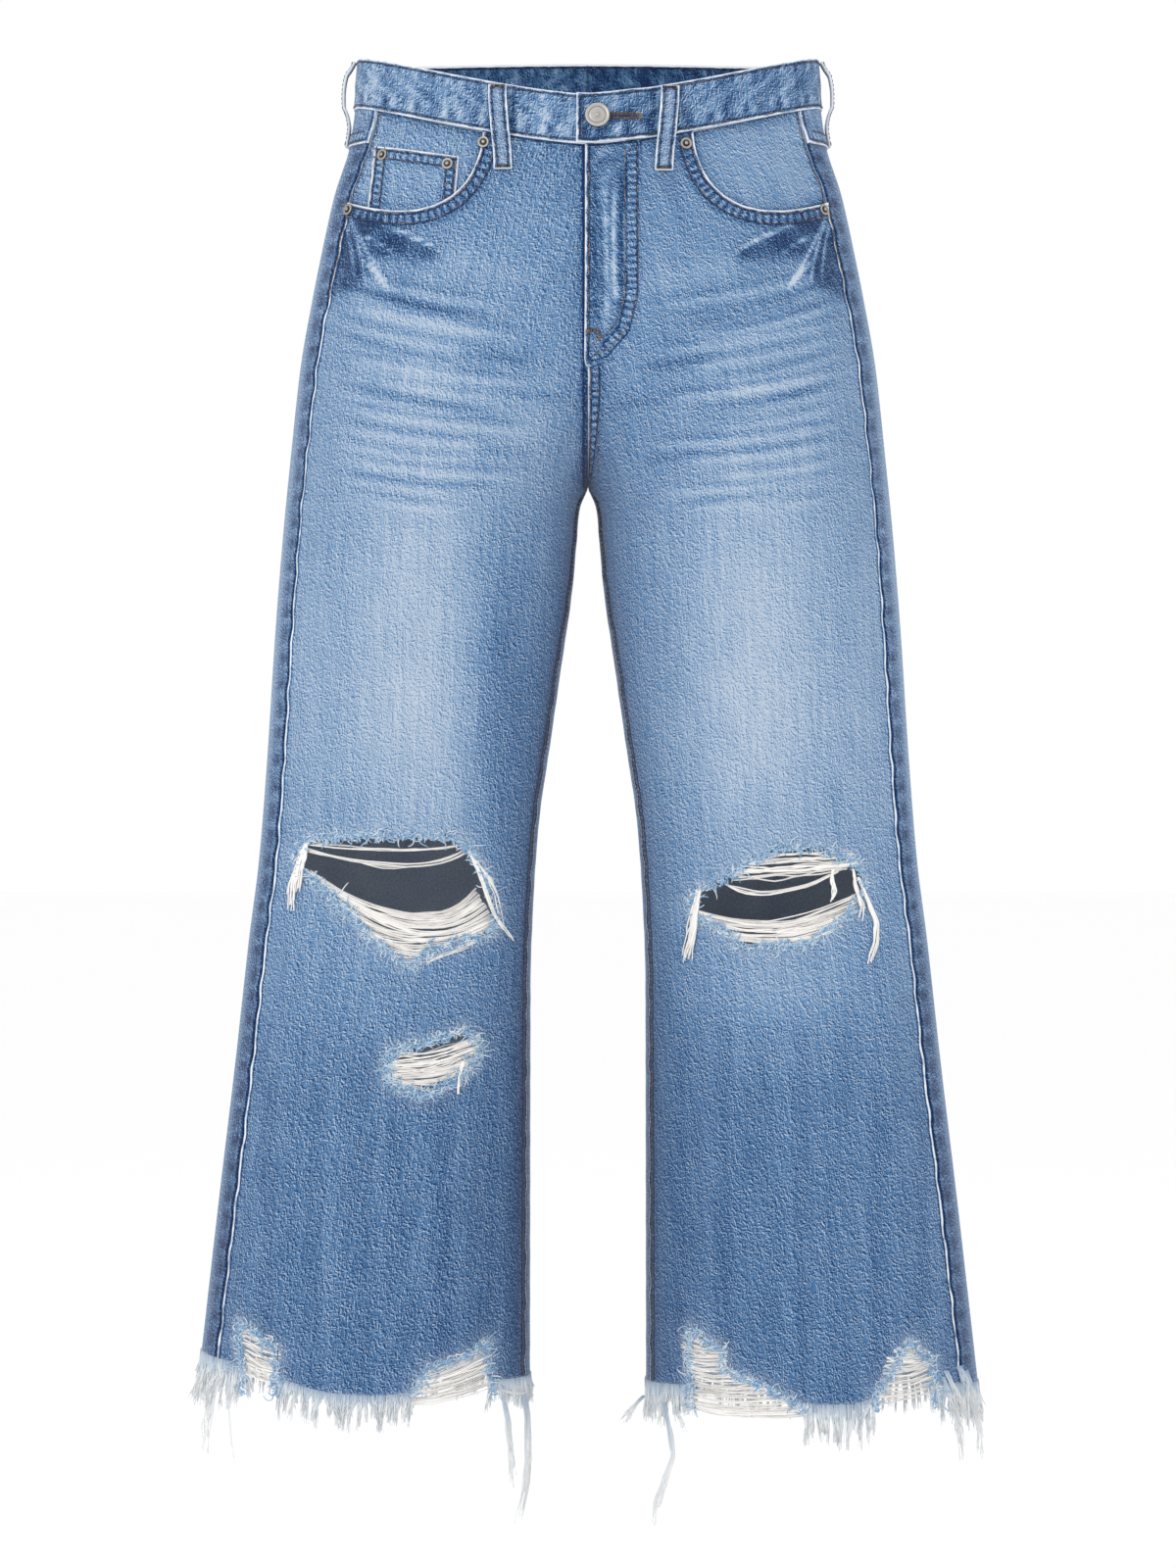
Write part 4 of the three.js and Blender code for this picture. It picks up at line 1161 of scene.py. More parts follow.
# Rows down the band, close together round its folded edges and across the buttonhole.
BAND_ROWS = np.array([
    0, 0.15, 0.4, 0.8, 1.3, *np.linspace(2, 14, 9), *np.linspace(15, 18.6, 9),
    *np.linspace(20, 34, 10), 34.7, 35.2, 35.6, 35.85, 36,
])
for side, sign in SIDES.items():
    angles, along = band_angles(side, 215)
    down, angle = np.broadcast_arrays(BAND_ROWS[:, None], angles[None, :])
    point, _ = band_point(side, angle, down)
    x = point[..., 0] * sign
    gone = np.zeros(x.shape, bool)
    away = np.abs(along)[None, :] + 0 * down
    middle = np.sin(np.pi * down / BAND_HEIGHT)
    tones = (0.42 if side == "left" else 0.55) + 0.14 * ripple(away * 0.9 + 1.5 * down, 23, sign) * middle
    tones += 0.12 * ripple(away, 31, 2 + sign)
    loop_x = 54 if side == "left" else 60
    # Painted shadows along both sides of each front loop.
    tones -= 0.4 * hump(np.abs(x - loop_x), 7.9, 1.5) * (angle > 0)
    tones = tones + 0.24 * ripple(away, 9.5, 1.0) * hump(down, 5.5, 3) + 0.03
    tones += 0.36 * ripple(away, 14.5, 3.0) * hump(down, 28, 4.2)
    if side == "left":
        def slit(px, pz):
            return inside_depth(px, pz, BUTTONHOLE)

        here = slit(x, point[..., 2]) * (angle > 0)
        gone = here > 0
        near = here > -0.05
        point[near, 0], point[near, 2] = snapped(x[near], point[near, 2], slit)
        # Painted shade in and around the buttonhole slit.
        tones -= 0.3 * np.exp(-np.maximum(-slit(x, point[..., 2]), 0) / 3) * (angle > 0)
        # A painted shadow under the button.
        tones -= 0.2 * gauss(x, point[..., 2], (6.5, -40), (14, 8)) * (angle > 0)
    seams = sewn((down, away, 0, 1.0), (BAND_HEIGHT - down, away, 0, 1.0), (away, down, 0, 1.0))
    tints = {"fade_and_shade": tones, "crack": 0.35 * middle + 0.1, **seams}
    pattern = (away * sign + PATTERN_X["band"], -down)
    band = sheet_of("waistband_cloth_" + side, point, pattern, tints, -sign)
    if gone.any():
        drop_faces(band, all_corners(gone)[:, ::-sign].ravel())
    thicken(band, BAND_CLOTH, [denim_face, band_lining_shaded, denim_face])
    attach(band, "root")
    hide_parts("waistband_" + side)

# ---------------------------------------------------------------- belt loops
# Five folded strips, tacked down at the top of the waistband and again below it, standing clear of
# it between the tacks. Their folded edges have worn white.
LOOP_WIDTH = 13
LOOP_CLOTH = 1.8
LOOP_BELOW = 26
LOOP_LENGTH = BAND_HEIGHT - 1 + LOOP_BELOW
loop_stand = profile([
    (1, 2), (0.926, 4.2), (0.82, 7.6), (0.656, 8.6), (0.475, 7.8), (0.36, 4.6), (0.2, 1.9), (0, 1.5),
])
LOOPS = {
    "front_left": ("left", front_angle(54.0, BAND_Z), 0.05),
    "front_right": ("right", front_angle(60.0, BAND_Z), 0.05),
    "side_left": ("left", 0.0, 0.0),
    "side_right": ("right", 0.0, 0.0),
    "back": ("left", -np.pi / 2, 0.0),
}


def loop_point(which, share, aside):
    """Points on a loop, at a share of its height and a distance aside of its middle."""
    side, angle, lean = LOOPS[which]
    behind = angle < -1
    top_x = on_form(BAND_Z, angle)[0]
    high = band_top(top_x, behind) - 1
    low = band_top(top_x, behind) - BAND_HEIGHT - LOOP_BELOW
    z = low + (high - low) * share
    turn = angle + lean * (0.5 - share)
    normal = normal_on_form(z, turn)
    across = unit(np.stack([-normal[..., 1], normal[..., 0], 0 * z], -1))
    rounded = 0.5 * np.clip((np.abs(aside) - 4.9) / 1.6, 0, 1) ** 2
    stand = loop_stand(share) + LOOP_CLOTH - rounded
    point = on_form(z, turn) + normal * stand[..., None] + across * aside[..., None]
    return mirrored(side, point, normal)


for which, (side, angle, lean) in LOOPS.items():
    sign = SIDES[side]
    half = LOOP_WIDTH / 2
    aside = np.array([-half, -6.2, -5.6, -4.9, -4, -2.6, -1.2, 0, 1.2, 2.6, 4, 4.9, 5.6, 6.2, half])
    share, aside = np.broadcast_arrays(np.linspace(1, 0, 70)[:, None], aside[None, :])
    point, _ = loop_point(which, share, aside)
    away = share * LOOP_LENGTH
    tones = 0.56 + 0.2 * ripple(away, 8, sign) * hump(np.abs(aside), 4, 2)
    tones -= 0.5 * hump(away, LOOP_LENGTH - 3.4, 1.0)
    long_edge, top_fold = (half - np.abs(aside), away, 0, 1.0), (LOOP_LENGTH - away, away, 0, 0.8)
    seams = sewn(long_edge, top_fold, (away, away, 0, 0.7))
    tints = {"fade_and_shade": tones, "worn": 0.2 * hump(aside, 0, 2.0), **seams}
    loop = sheet_of("loop_" + which, point, (aside + PATTERN_X["loop"], away), tints, -sign)
    thicken(loop, LOOP_CLOTH, [denim_face] * 3)
    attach(loop, "root")
    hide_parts("belt_loop_" + which)

# ---------------------------------------------------------------- rivets and button
# Nickel plated trims: six rivets hammered through the pocket corners, each with a burr in the
# middle of a dished cap, and a stamped button riveted on a shank through the waistband.
RIVET_PROFILE = [
    (0, 1.95, 0), (0.7, 1.9, 0), (1.15, 1.7, 0), (1.4, 1.3, 0.7), (1.6, 0.85, 1), (1.9, 0.62, 1),
    (2.4, 0.7, 0.7), (2.9, 0.95, 0), (3.4, 1.1, 0), (3.8, 1.02, 0), (4.1, 0.72, 0), (4.2, 0.35, 0.4),
    (4.2, 0, 1), (3.4, -0.1, 1), (0, -0.1, 1),
]
BUTTON_PROFILE = [
    (0, 6.2, 0), (0.8, 6.15, 0), (1.15, 5.9, 0.5), (1.6, 5.82, 0.2), (4.4, 5.8, 0), (5.6, 5.8, 0.1),
    (5.85, 5.62, 0.7), (6.15, 5.62, 0.7), (6.4, 5.8, 0.1), (7.0, 5.95, 0), (7.5, 6.2, 0), (8.0, 6.25, 0),
    (8.45, 6.05, 0), (8.7, 5.65, 0.1), (8.75, 5.1, 0.3), (8.6, 4.6, 0.6), (8.1, 4.1, 1), (7.4, 3.85, 1),
    (2.6, 3.6, 1), (2.3, 3.3, 1), (2.3, 0, 1), (0, 0, 1),
]
TACK_PROFILE = [(0, 1.1, 0), (3.4, 1.05, 0), (4.2, 0.8, 0), (4.6, 0.4, 0.3), (4.6, 0, 1), (0, 0, 1)]
RIVETS = {
    "rivet_waist_left": ("left", 68.5, -52, GAP + 1.1),
    "rivet_waist_right": ("right", 73, -51, GAP + 1.1),
    "rivet_side_left": ("left", 166, -95, GAP + 1.1),
    "rivet_side_right": ("right", 168, -95, GAP + 1.1),
    "rivet_coin_inner": ("right", 99, -65, GAP - UNDER_FRONT["coin"] + 0.3),
    "rivet_coin_outer": ("right", 146, -56, GAP - UNDER_FRONT["coin"] + 0.3),
}


def turned(name, outline, place, axis, material, sides=48):
    """A piece turned about an axis: its outline is a list of (radius, height, dirt)."""
    deselect()
    bpy.ops.mesh.primitive_grid_add(x_subdivisions=sides, y_subdivisions=len(outline) - 1, size=1)
    piece = bpy.context.object
    piece.name = name
    piece.data.name = name
    radius, height, dirt = np.array(outline, float).T
    turn = np.linspace(0, 2 * np.pi, sides + 1)
    aside = unit(np.cross(axis, (0, 0, 1)))
    up = np.cross(aside, axis)
    ring = np.cos(turn)[:, None] * aside + np.sin(turn)[:, None] * up
    points = place + height[:, None, None] * axis + radius[:, None, None] * ring
    piece.data.vertices.foreach_set("co", (points * MM).astype(np.float32).ravel())
    groove = piece.data.attributes.new("groove", "FLOAT", "POINT")
    groove.data.foreach_set("value", np.repeat(dirt, sides + 1))
    choose(piece)
    bpy.ops.object.mode_set(mode="EDIT")
    bpy.ops.mesh.select_all(action="SELECT")
    bpy.ops.mesh.remove_doubles(threshold=0.00001)
    bpy.ops.mesh.normals_make_consistent(inside=False)
    bpy.ops.object.mode_set(mode="OBJECT")
    bpy.ops.object.shade_smooth_by_angle(angle=np.radians(50))
    piece.data.materials.append(material)
    return piece


def make_metal(name, bright, dark, shine):
    """Worn plating: darkened in its grooves and finely scratched."""
    material, shader, v = new_material(name)
    place = v.out("TexCoord", "Object")
    groove = v.tint("groove")
    grain = v.noise(place, 900.0, 3.0)
    stain = v.noise(place, 260.0, 2.0)
    dirty = (groove + (stain - 0.5) * 0.5).clamp()
    v.plug(shader, Base_Color=dirty.ramp([(0, bright), (1, dark)]), Metallic=1.0)
    rough = (shine + (grain - 0.5) * 0.25 + dirty * 0.2).clamp()
    v.plug(shader, Roughness=rough, Normal=v.bump(0.35, 0.00005, grain))
    return material


nickel = make_metal("nickel", "#b5b2ae", "#55524e", 0.4)
antique = make_metal("antique_nickel", "#a8a49d", "#2b2927", 0.36)

for name, (side, x, z, out) in RIVETS.items():
    place, axis = on_cloth(side, float(z), float(front_angle(x, float(z))), out)
    rivet = turned(name + "_cap", RIVET_PROFILE, place, axis, antique)
    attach(rivet, "root")
    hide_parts(name)

BUTTON_Z = -34.0
button_angle = float(front_angle(6.5, BUTTON_Z))
button_axis = normal_on_form(BUTTON_Z, button_angle)
for name, node, outline, out in (
    ("shank_button", "button", BUTTON_PROFILE, BAND_PROUD + GAP),
    ("button_rivet", "button_tack", TACK_PROFILE, BAND_PROUD - BAND_CLOTH - GAP - 1.1),
):
    place = on_form(BUTTON_Z, button_angle) + button_axis * out
    metal = turned(name, outline, place, button_axis, nickel, 72)
    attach(metal, "root")
    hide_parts(node)

# ---------------------------------------------------------------- stitching
# Lockstitch in tobacco and tan cotton, 3.2 mm from stitch to stitch: two rows where an edge is
# felled or hemmed and one where it is only topped. Bartacks are close zigzags over the ends.
STITCH_PITCH = 3.2
THREAD_RADIUS = 0.4
COPY_GAP = 4


def strands(name, paths, radius, material, shade, sides=3):
    """Threads along the rows of a (threads, points, 3) array, as one mesh of thin tubes.

    One tube is cut into rings, copied for every thread, and each ring is then moved to its place.
    """
    paths = np.asarray(paths, float)
    count, steps = paths.shape[:2]
    deselect()
    bpy.ops.mesh.primitive_cylinder_add(vertices=sides, radius=1, depth=2, end_fill_type="NGON")
    piece = bpy.context.object
    piece.name = name
    piece.data.name = name
    bpy.ops.object.mode_set(mode="EDIT")
    bpy.ops.mesh.select_mode(type="EDGE")
    bpy.ops.mesh.select_all(action="DESELECT")
    bpy.ops.object.mode_set(mode="OBJECT")
    height = [vertex.co.z for vertex in piece.data.vertices]
    for edge in piece.data.edges:
        edge.select = abs(height[edge.vertices[0]] - height[edge.vertices[1]]) > 1
    bpy.ops.object.mode_set(mode="EDIT")
    bpy.ops.mesh.subdivide(number_cuts=steps - 2)
    bpy.ops.object.mode_set(mode="OBJECT")
    copies = piece.modifiers.new("threads", "ARRAY")
    copies.count = count
    copies.use_relative_offset = False
    copies.use_constant_offset = True
    copies.constant_offset_displace = (COPY_GAP, 0, 0)
    bpy.ops.object.modifier_apply(modifier="threads")
    corner = np.empty(len(piece.data.vertices) * 3, np.float32)
    piece.data.vertices.foreach_get("co", corner)
    corner = corner.reshape(-1, 3)
    thread = np.rint(corner[:, 0] / COPY_GAP).astype(int)
    ring = np.rint((corner[:, 2] + 1) / 2 * (steps - 1)).astype(int)
    turn = np.arctan2(corner[:, 1], corner[:, 0] - COPY_GAP * thread)
    ahead = unit(np.gradient(paths, axis=1))
    chord = np.abs(paths[:, -1] - paths[:, 0])
    guide = np.eye(3)[np.argmin(chord, axis=-1)][:, None, :]
    aside = unit(np.cross(ahead, guide))
    up = np.cross(ahead, aside)
    thick = np.broadcast_to(radius, (count, steps))[thread, ring][:, None]
    way = np.cos(turn)[:, None] * aside[thread, ring] + np.sin(turn)[:, None] * up[thread, ring]
    place = (paths[thread, ring] + thick * way) * MM
    piece.data.vertices.foreach_set("co", place.astype(np.float32).ravel())
    tone = piece.data.attributes.new("shade", "FLOAT", "POINT")
    shades = np.broadcast_to(shade, (count, steps))[thread, ring]
    tone.data.foreach_set("value", shades.astype(np.float32))
    piece.data.update()
    bpy.ops.object.shade_smooth()
    piece.data.materials.append(material)
    return piece


def make_thread(name, stops, noise):
    """Spun cotton: its shade picks the colour, broken up along the fibres."""
    material, shader, v = new_material(name)
    place = v.out("TexCoord", "Object")
    shade = v.tint("shade")
    grain = v.noise(place, 1100.0, 2.0)
    colour = (shade + (grain - 0.5) * noise).clamp().ramp(stops)
    v.plug(shader, Base_Color=colour, Roughness=0.85, Specular_IOR_Level=0.25, Sheen_Weight=0.2)
    v.plug(shader, Normal=v.bump(0.3, 0.0001, grain))
    return material


tobacco = make_thread(
    "sewing_thread", [(0, "#20232b"), (0.4, "#3f3c42"), (0.75, "#7a685c"), (1, "#ab8f71")], 0.4
)


def stitch_starts(run, pitch):
    """Distances along a line at which its stitches start."""
    return (np.arange(max(int(run[-1] / pitch), 1)) + 0.1) * pitch


def stitch_row(points, normals, rng, cover=0.8, rise=0.3, wobble=0.12):
    """Paths of the stitches along one line on the cloth: up out of it, along and down again."""
    run = distances(points)
    start = stitch_starts(run, STITCH_PITCH)
    share = np.array([0, 0.14, 0.5, 0.86, 1])
    lift = np.array([-0.5, 0.55, 1.0, 0.55, -0.5]) * rise
    length = STITCH_PITCH * cover * rng.uniform(0.9, 1.06, len(start))
    at = start[:, None] + length[:, None] * share
    out = places_along(at, run, normals)
    place = places_along(at, run, points) + out * lift[None, :, None]
    return place + rng.normal(0, wobble, (len(start), 1, 3)) * (1 - np.abs(out))


def bartack(points, normals, half_width, rng, pitch=0.55):
    """A close zigzag along a short line on the cloth."""
    run = distances(points)
    at = stitch_starts(run, pitch)
    across = places_along(at, run, unit(np.cross(normals, np.gradient(points, axis=0))))
    reach = half_width * rng.uniform(0.85, 1.1, len(at))[:, None, None]
    steps = np.array([-1, -0.9, 0, 0.9, 1])[:, None] * reach * across[:, None, :]
    lift = np.array([-0.3, 0.25, 0.42, 0.25, -0.3])[:, None] * places_along(at, run, normals)[:, None, :]
    return places_along(at, run, points)[:, None, :] + steps + lift


def sideways(line):
    """Directions to the right of a line in the front view, as seen going along it."""
    ahead = unit(np.gradient(line, axis=0))
    return np.stack([ahead[:, 1], -ahead[:, 0]], -1)


def offset_line(line, distance):
    """A line in the front view moved to its right."""
    line = np.asarray(line, float)
    return line + distance * sideways(line)


def dense(line, step=0.8):
    """A line in the front view with a place at every step along it."""
    line = np.asarray(line, float)
    run = distances(line)
    return places_along(np.linspace(0, run[-1], max(int(run[-1] / step), 4)), run, line)


def front_line(side, line):
    x, z = dense(line).T
    return front_point(side, z, front_angle(x, z))


def edge_line(side, start, end, from_edge, low, high, behind=False):
    """A line down the cloth at a distance from the far edge of a panel, or if less than 0 the near."""
    z = np.arange(high, low, -1.0)
    angle = np.empty(len(z))
    for i, level in enumerate(z):
        fine = np.linspace(start(level), end(level), 80)
        run = distances(on_form(np.full(80, level), fine))
        wanted = run[-1] - from_edge if from_edge >= 0 else -from_edge
        angle[i] = np.interp(wanted, run, fine)
    return on_cloth(side, z, angle) if behind else front_point(side, z, angle)


def all_stitches(rows, tacks, rng):
    """The paths of all the stitches of some rows and bartacks."""
    paths = [stitch_row(*line, rng) for line in rows]
    return np.concatenate(paths + [bartack(*line, half, rng) for line, half in tacks])


rng = np.random.default_rng(11)
MOUTH_ROWS = (2.2, 9.3)
INSEAM_ROWS = (2.6, 8.6)
mouth_line = bezier(POCKET_MOUTH, 90)
leg_rows = []
rows = []
for side in SIDES:
    rows += [front_line(side, offset_line(mouth_line, gap)) for gap in MOUTH_ROWS]
    foot = hem_line(55, side) + 3
    leg_rows += [edge_line(side, seam_angle, front_end, gap, foot, -296) for gap in INSEAM_ROWS]
    rows.append(edge_line(side, seam_angle, front_end, -2.6, -160, -96))
    facing_z = np.arange(-22.0, -86.0, -1.0)
    facing_angle = front_angle(on_form(facing_z, seam_angle(facing_z))[:, 0] - 2.6, facing_z)
    rows.append(on_cloth(side, facing_z, facing_angle, -0.9))
fly_rows = [
    [(26, -54), (26, -150), *bezier([(26, -150), (26, -176), (15, -190), (-1, -195)], 16)[1:]],
    [(34.5, -54), (35, -148), *bezier([(35, -148), (35, -182), (19, -198), (-1, -203.5)], 16)[1:]],
    [(0.8, -58), (0.8, -192)],
    [(2.2, -208), (2.2, -284)],
    [(7.4, -208), (7.4, -284)],
]
rows += [front_line("left", line) for line in fly_rows]
for gap in (2.0, 8.0):
    inner_edge = offset_line([COIN_POCKET[0], COIN_POCKET[3]], -gap)
    outer_edge = offset_line([COIN_POCKET[1], COIN_POCKET[2]], gap)
    top_edge = offset_line([COIN_POCKET[0], COIN_POCKET[1]], gap)
    rows += [coin_point(*dense(line).T) for line in (inner_edge, outer_edge, top_edge)]
fly_tacks = [
    (front_line("left", [(-1, -184.5), (8, -184.5)]), 0.9),
    (front_line("left", [(8, -184.5), (8, -192)]), 0.8),
]
front_paths = all_stitches(rows, fly_tacks, rng)
front_shades = rng.uniform(0.1, 1.0, len(front_paths))
leg_paths = all_stitches(leg_rows, [], rng)
shades = np.concatenate([front_shades, rng.uniform(0.0, 0.45, len(leg_paths))])
front_stitching = strands(
    "front_stitching", np.concatenate([front_paths, leg_paths]), THREAD_RADIUS, tobacco, shades[:, None]
)
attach(front_stitching, "root")

BAND_LINES = (2.6, BAND_HEIGHT - 2.4)
rows = []
tacks = []
for side in SIDES:
    for down in BAND_LINES:
        angle, _ = band_angles(side, 500, 2.5 if side == "left" else 20.0, 0.5)
        rows.append(band_point(side, angle, np.full(500, down)))
    for down in BAND_LINES:
        angle, _ = band_angles(side, 500, 260.0 if side == "left" else 240.0, 0.5)
        place, out = band_point(side, angle, np.full(500, down), -BAND_CLOTH)
        rows.append((place, -out))
    for gap in (2.0, 8.4):
        line_angle = level_angles(YOKE_Z, back_start, back_end, np.linspace(0.003, 0.995, 300))
        z = yoke_seam(on_form(YOKE_Z, line_angle)[:, 0]) + gap
        rows.append(yoke_point(side, z, line_angle, gap, FAR))
    corners = np.array(BACK_POCKET, float)
    inwards = unit(corners.mean(axis=0) - corners)
    for inset in (2.0, 8.2):
        inside = corners + inwards * inset * 1.3
        rows.append(back_pocket_point(side, *dense(inside[[0, 4, 3, 2, 1]]).T))
    hem_row = dense(offset_line(BACK_POCKET[:2], 13.0))[3:-3]
    rows.append(back_pocket_point(side, *hem_row.T))
    for corner, aside in zip(BACK_POCKET[:2], (3, -3)):
        tack = dense([np.add(corner, (aside, -1.5)), np.add(corner, (aside, -10))])
        tacks.append((back_pocket_point(side, *tack.T), 1.0))
rows += [edge_line("left", back_start, back_end, -gap, -284, -102, behind=True) for gap in (2.0, 8.0)]
for which in LOOPS:
    share = np.linspace(0.985, 0.015, 90)
    rows += [loop_point(which, share, np.full(90, aside)) for aside in (-3.9, 3.9)]
    for share in (0.975, 0.03):
        tacks.append((loop_point(which, np.full(30, share), np.linspace(-5.2, 5.2, 30)), 0.9))
tab_angle, _ = band_angles("left", 2, 2.4, 200)
rows.append(band_point("left", np.full(60, tab_angle[0]), np.linspace(3, BAND_HEIGHT - 2.6, 60)))
for side in SIDES:
    seam, _ = band_angles(side, 2, 200, 0.9)
    tacks.append((band_point(side, np.full(30, seam[1]), np.linspace(2.5, 33.5, 30)), 0.7))
waist_paths = all_stitches(rows, tacks, rng)
shades = rng.uniform(0.0, 0.85, (len(waist_paths), 1))
waist_stitching = strands("waist_and_back_stitching", waist_paths, THREAD_RADIUS, tobacco, shades)
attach(waist_stitching, "root")

# The buttonhole's close stitches run round the slit, with a tack across its outer end.
HOLE_MIDDLE_Z = -33.9
hole = dense(BUTTONHOLE, 0.42)
hole_angle = front_angle(hole[:, 0], BAND_Z)
hole_down = band_top(hole[:, 0], False) - hole[:, 1]
edge_place, edge_out = band_point("left", hole_angle, hole_down)
away = unit(np.stack([hole[:, 0] > 33, 0 * hole[:, 0], np.sign(hole[:, 1] - HOLE_MIDDLE_Z)], -1))
reach = np.array([-0.25, 0.1, 0.9, 1.7, 1.9])[None, :, None]
lift = np.array([-0.5, 0.25, 0.5, 0.3, -0.3])[None, :, None]
hole_paths = edge_place[:, None, :] + away[:, None, :] * reach + edge_out[:, None, :] * lift
TACK_X = 35.8
tack_down = band_top(TACK_X, False) - np.linspace(-32, -36, 12)
tack_angle = front_angle(np.full(12, TACK_X), BAND_Z)
tack_paths = bartack(*band_point("left", tack_angle, tack_down), 1.4, rng, 0.5)
hole_paths = np.concatenate([hole_paths, tack_paths])
shades = np.concatenate([rng.uniform(0.35, 0.8, len(away)), rng.uniform(0.85, 1.0, len(tack_paths))])
buttonhole = strands("buttonhole_stitching", hole_paths, 0.28, tobacco, shades[:, None])
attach(buttonhole, "root")

# ---------------------------------------------------------------- threads across the rips
# Where the denim has torn only its white weft is left, sagging across each rip in flat bundles.
# Blue and white lint stands up along the torn edges, and long ends hang from the corners.
cotton = make_thread(
    "undyed_cotton", [(0, "#7f9dbb"), (0.3, "#b7c8d9"), (0.6, "#dde4ea"), (1, "#fbfbfa")], 0.3
)
bare_weft = make_thread("bare_weft", [(0, "#9a9b9e"), (0.4, "#dedbd7"), (1, "#fffcf8")], 0.25)
blue_lint = make_thread("blue_lint", [(0, "#74a8d6"), (0.5, "#b4d3ec"), (1, "#f2f7fb")], 0.3)


def over_front(side, x, z, out):
    """Places over the front, at x outwards from the centre, where the cloth is or would be."""
    x, z, out = np.broadcast_arrays(np.asarray(x, float), np.asarray(z, float), np.asarray(out, float))
    place, normal = on_cloth(side, z, front_angle(x, z))
    return place + normal * out[..., None]


def smooth_noise(rng, count, steps, size, knots):
    """A gentle wander of each thread: a few random knots joined smoothly."""
    rough = rng.normal(0, size, (count, knots))
    at = np.linspace(0, knots - 1, steps)
    low = np.minimum(at.astype(int), knots - 2)
    part = at - low
    part = part * part * (3 - 2 * part)
    return rough[:, low] * (1 - part) + rough[:, low + 1] * part


def weft(side, start, middle, end, count, rng, sag=0.6, loose=0.75):
    """Threads from one torn edge to the other, through a curve that says how they sag."""
    steps = 14
    bundles = max(count // 4, 1)
    share = (rng.integers(0, bundles, count) + 0.5 + rng.normal(0, 0.2, count)) / bundles
    share = np.clip(share, 0, 1)
    far = np.clip(share + rng.normal(0, 0.1, count) * np.sqrt(1 - share), 0, 1)

    def along(curve, at):
        return places_along(at, np.linspace(0, 1, len(curve)), np.array(curve, float))[:, None, :]

    t = np.linspace(0, 1, steps)[None, :, None]
    first, last = along(start, share), along(end, far)
    through = along(middle, (share + far) / 2)
    control = 2 * through - 0.5 * first - 0.5 * last
    plan = (1 - t) ** 2 * first + 2 * (1 - t) * t * control + t * t * last
    plan = plan + unit(last - first) * (t * 2.4 - 1.2)
    belly = 4 * t[..., 0] * (1 - t[..., 0])
    x = plan[..., 0] + smooth_noise(rng, count, steps, 0.25, 5)
    z = plan[..., 1] - belly * rng.gamma(1.2, sag, (count, 1))
    z = z + smooth_noise(rng, count, steps, loose, 6)
    out = rng.uniform(-1.0, 0.2, (count, 1)) + smooth_noise(rng, count, steps, 0.35, 5)
    return over_front(side, x, z, out + 0.5 * (1 - belly) - 0.2)


def edge_places(outline, step, rng):
    """Places round an outline and the directions out of it, jittered."""
    corners = np.array([*outline, outline[0]], float)
    line = dense(corners, step)
    away = sideways(line)
    ahead = line + away * 2
    flip = np.where(inside_depth(ahead[:, 0], ahead[:, 1], outline) > 0, -1, 1)
    return line + rng.normal(0, step / 2, line.shape), away * flip[:, None]


def lint(side, outline, rng, step=0.29, steps=5, top_only=None):
    """Short curled fibres along a torn edge, some lying on the cloth and some across the rip."""
    line, away = edge_places(outline, step, rng)
    if top_only is not None:
        keep = line[:, 1] > top_only
        line, away = line[keep], away[keep]
    count = len(line)
    start = line + away * rng.uniform(-0.6, 2.4, (count, 1))
    heading = np.arctan2(away[:, 1], away[:, 0]) + np.where(rng.random(count) < 0.55, np.pi, 0)
    heading = heading + rng.normal(0, 0.8, count)
    bend = rng.normal(0, 0.45, (count, 1)) + rng.normal(0, 0.4, (count, steps))
    way = heading[:, None] + np.cumsum(bend, axis=1)
    length = rng.gamma(5.0, 0.95, count)[:, None] / steps
    x = start[:, :1] + np.cumsum(np.cos(way) * length, axis=1)
    z = start[:, 1:] + np.cumsum(np.sin(way) * length, axis=1)
    out = 0.2 + np.linspace(0, 1, steps)[None, :] * rng.uniform(0.3, 2.6, (count, 1))
    return over_front(side, x, z, out), rng.beta(1.2, 1.3, (count, 1)) * np.ones((1, steps))


def tassel(side, knots, count, spread, rng, steps=18):
    """A bunch of threads that leaves the cloth together and hangs along a line, fraying out."""
    knots = np.array(knots, float)
    run = distances(knots)
    reach = rng.uniform(0.72, 1.0, (count, 1))
    t = np.linspace(0, 1, steps)[None, :]
    at = t * reach * run[-1]
    x = np.interp(at, run, knots[:, 0]) + smooth_noise(rng, count, steps, 0.35, 7)
    z = np.interp(at, run, knots[:, 1])
    turn = rng.uniform(0, 2 * np.pi, (count, 1)) + 2.5 * t * rng.uniform(0.5, 1.2, (count, 1))
    wide = spread * (0.35 + 0.65 * t) * np.sqrt(rng.uniform(0.05, 1, (count, 1)))
    x = x + wide * np.cos(turn)
    away = np.interp(t, [0, 0.2, 1], [0, 1.2, 3.0]) + wide * 0.6 * np.sin(turn) + 0.2
    base = over_front(side, np.clip(x, 8, 276), np.maximum(z, -940.0), np.maximum(away, 0.1))
    base[..., 0] = x * SIDES[side]
    base[..., 2] = z
    return base


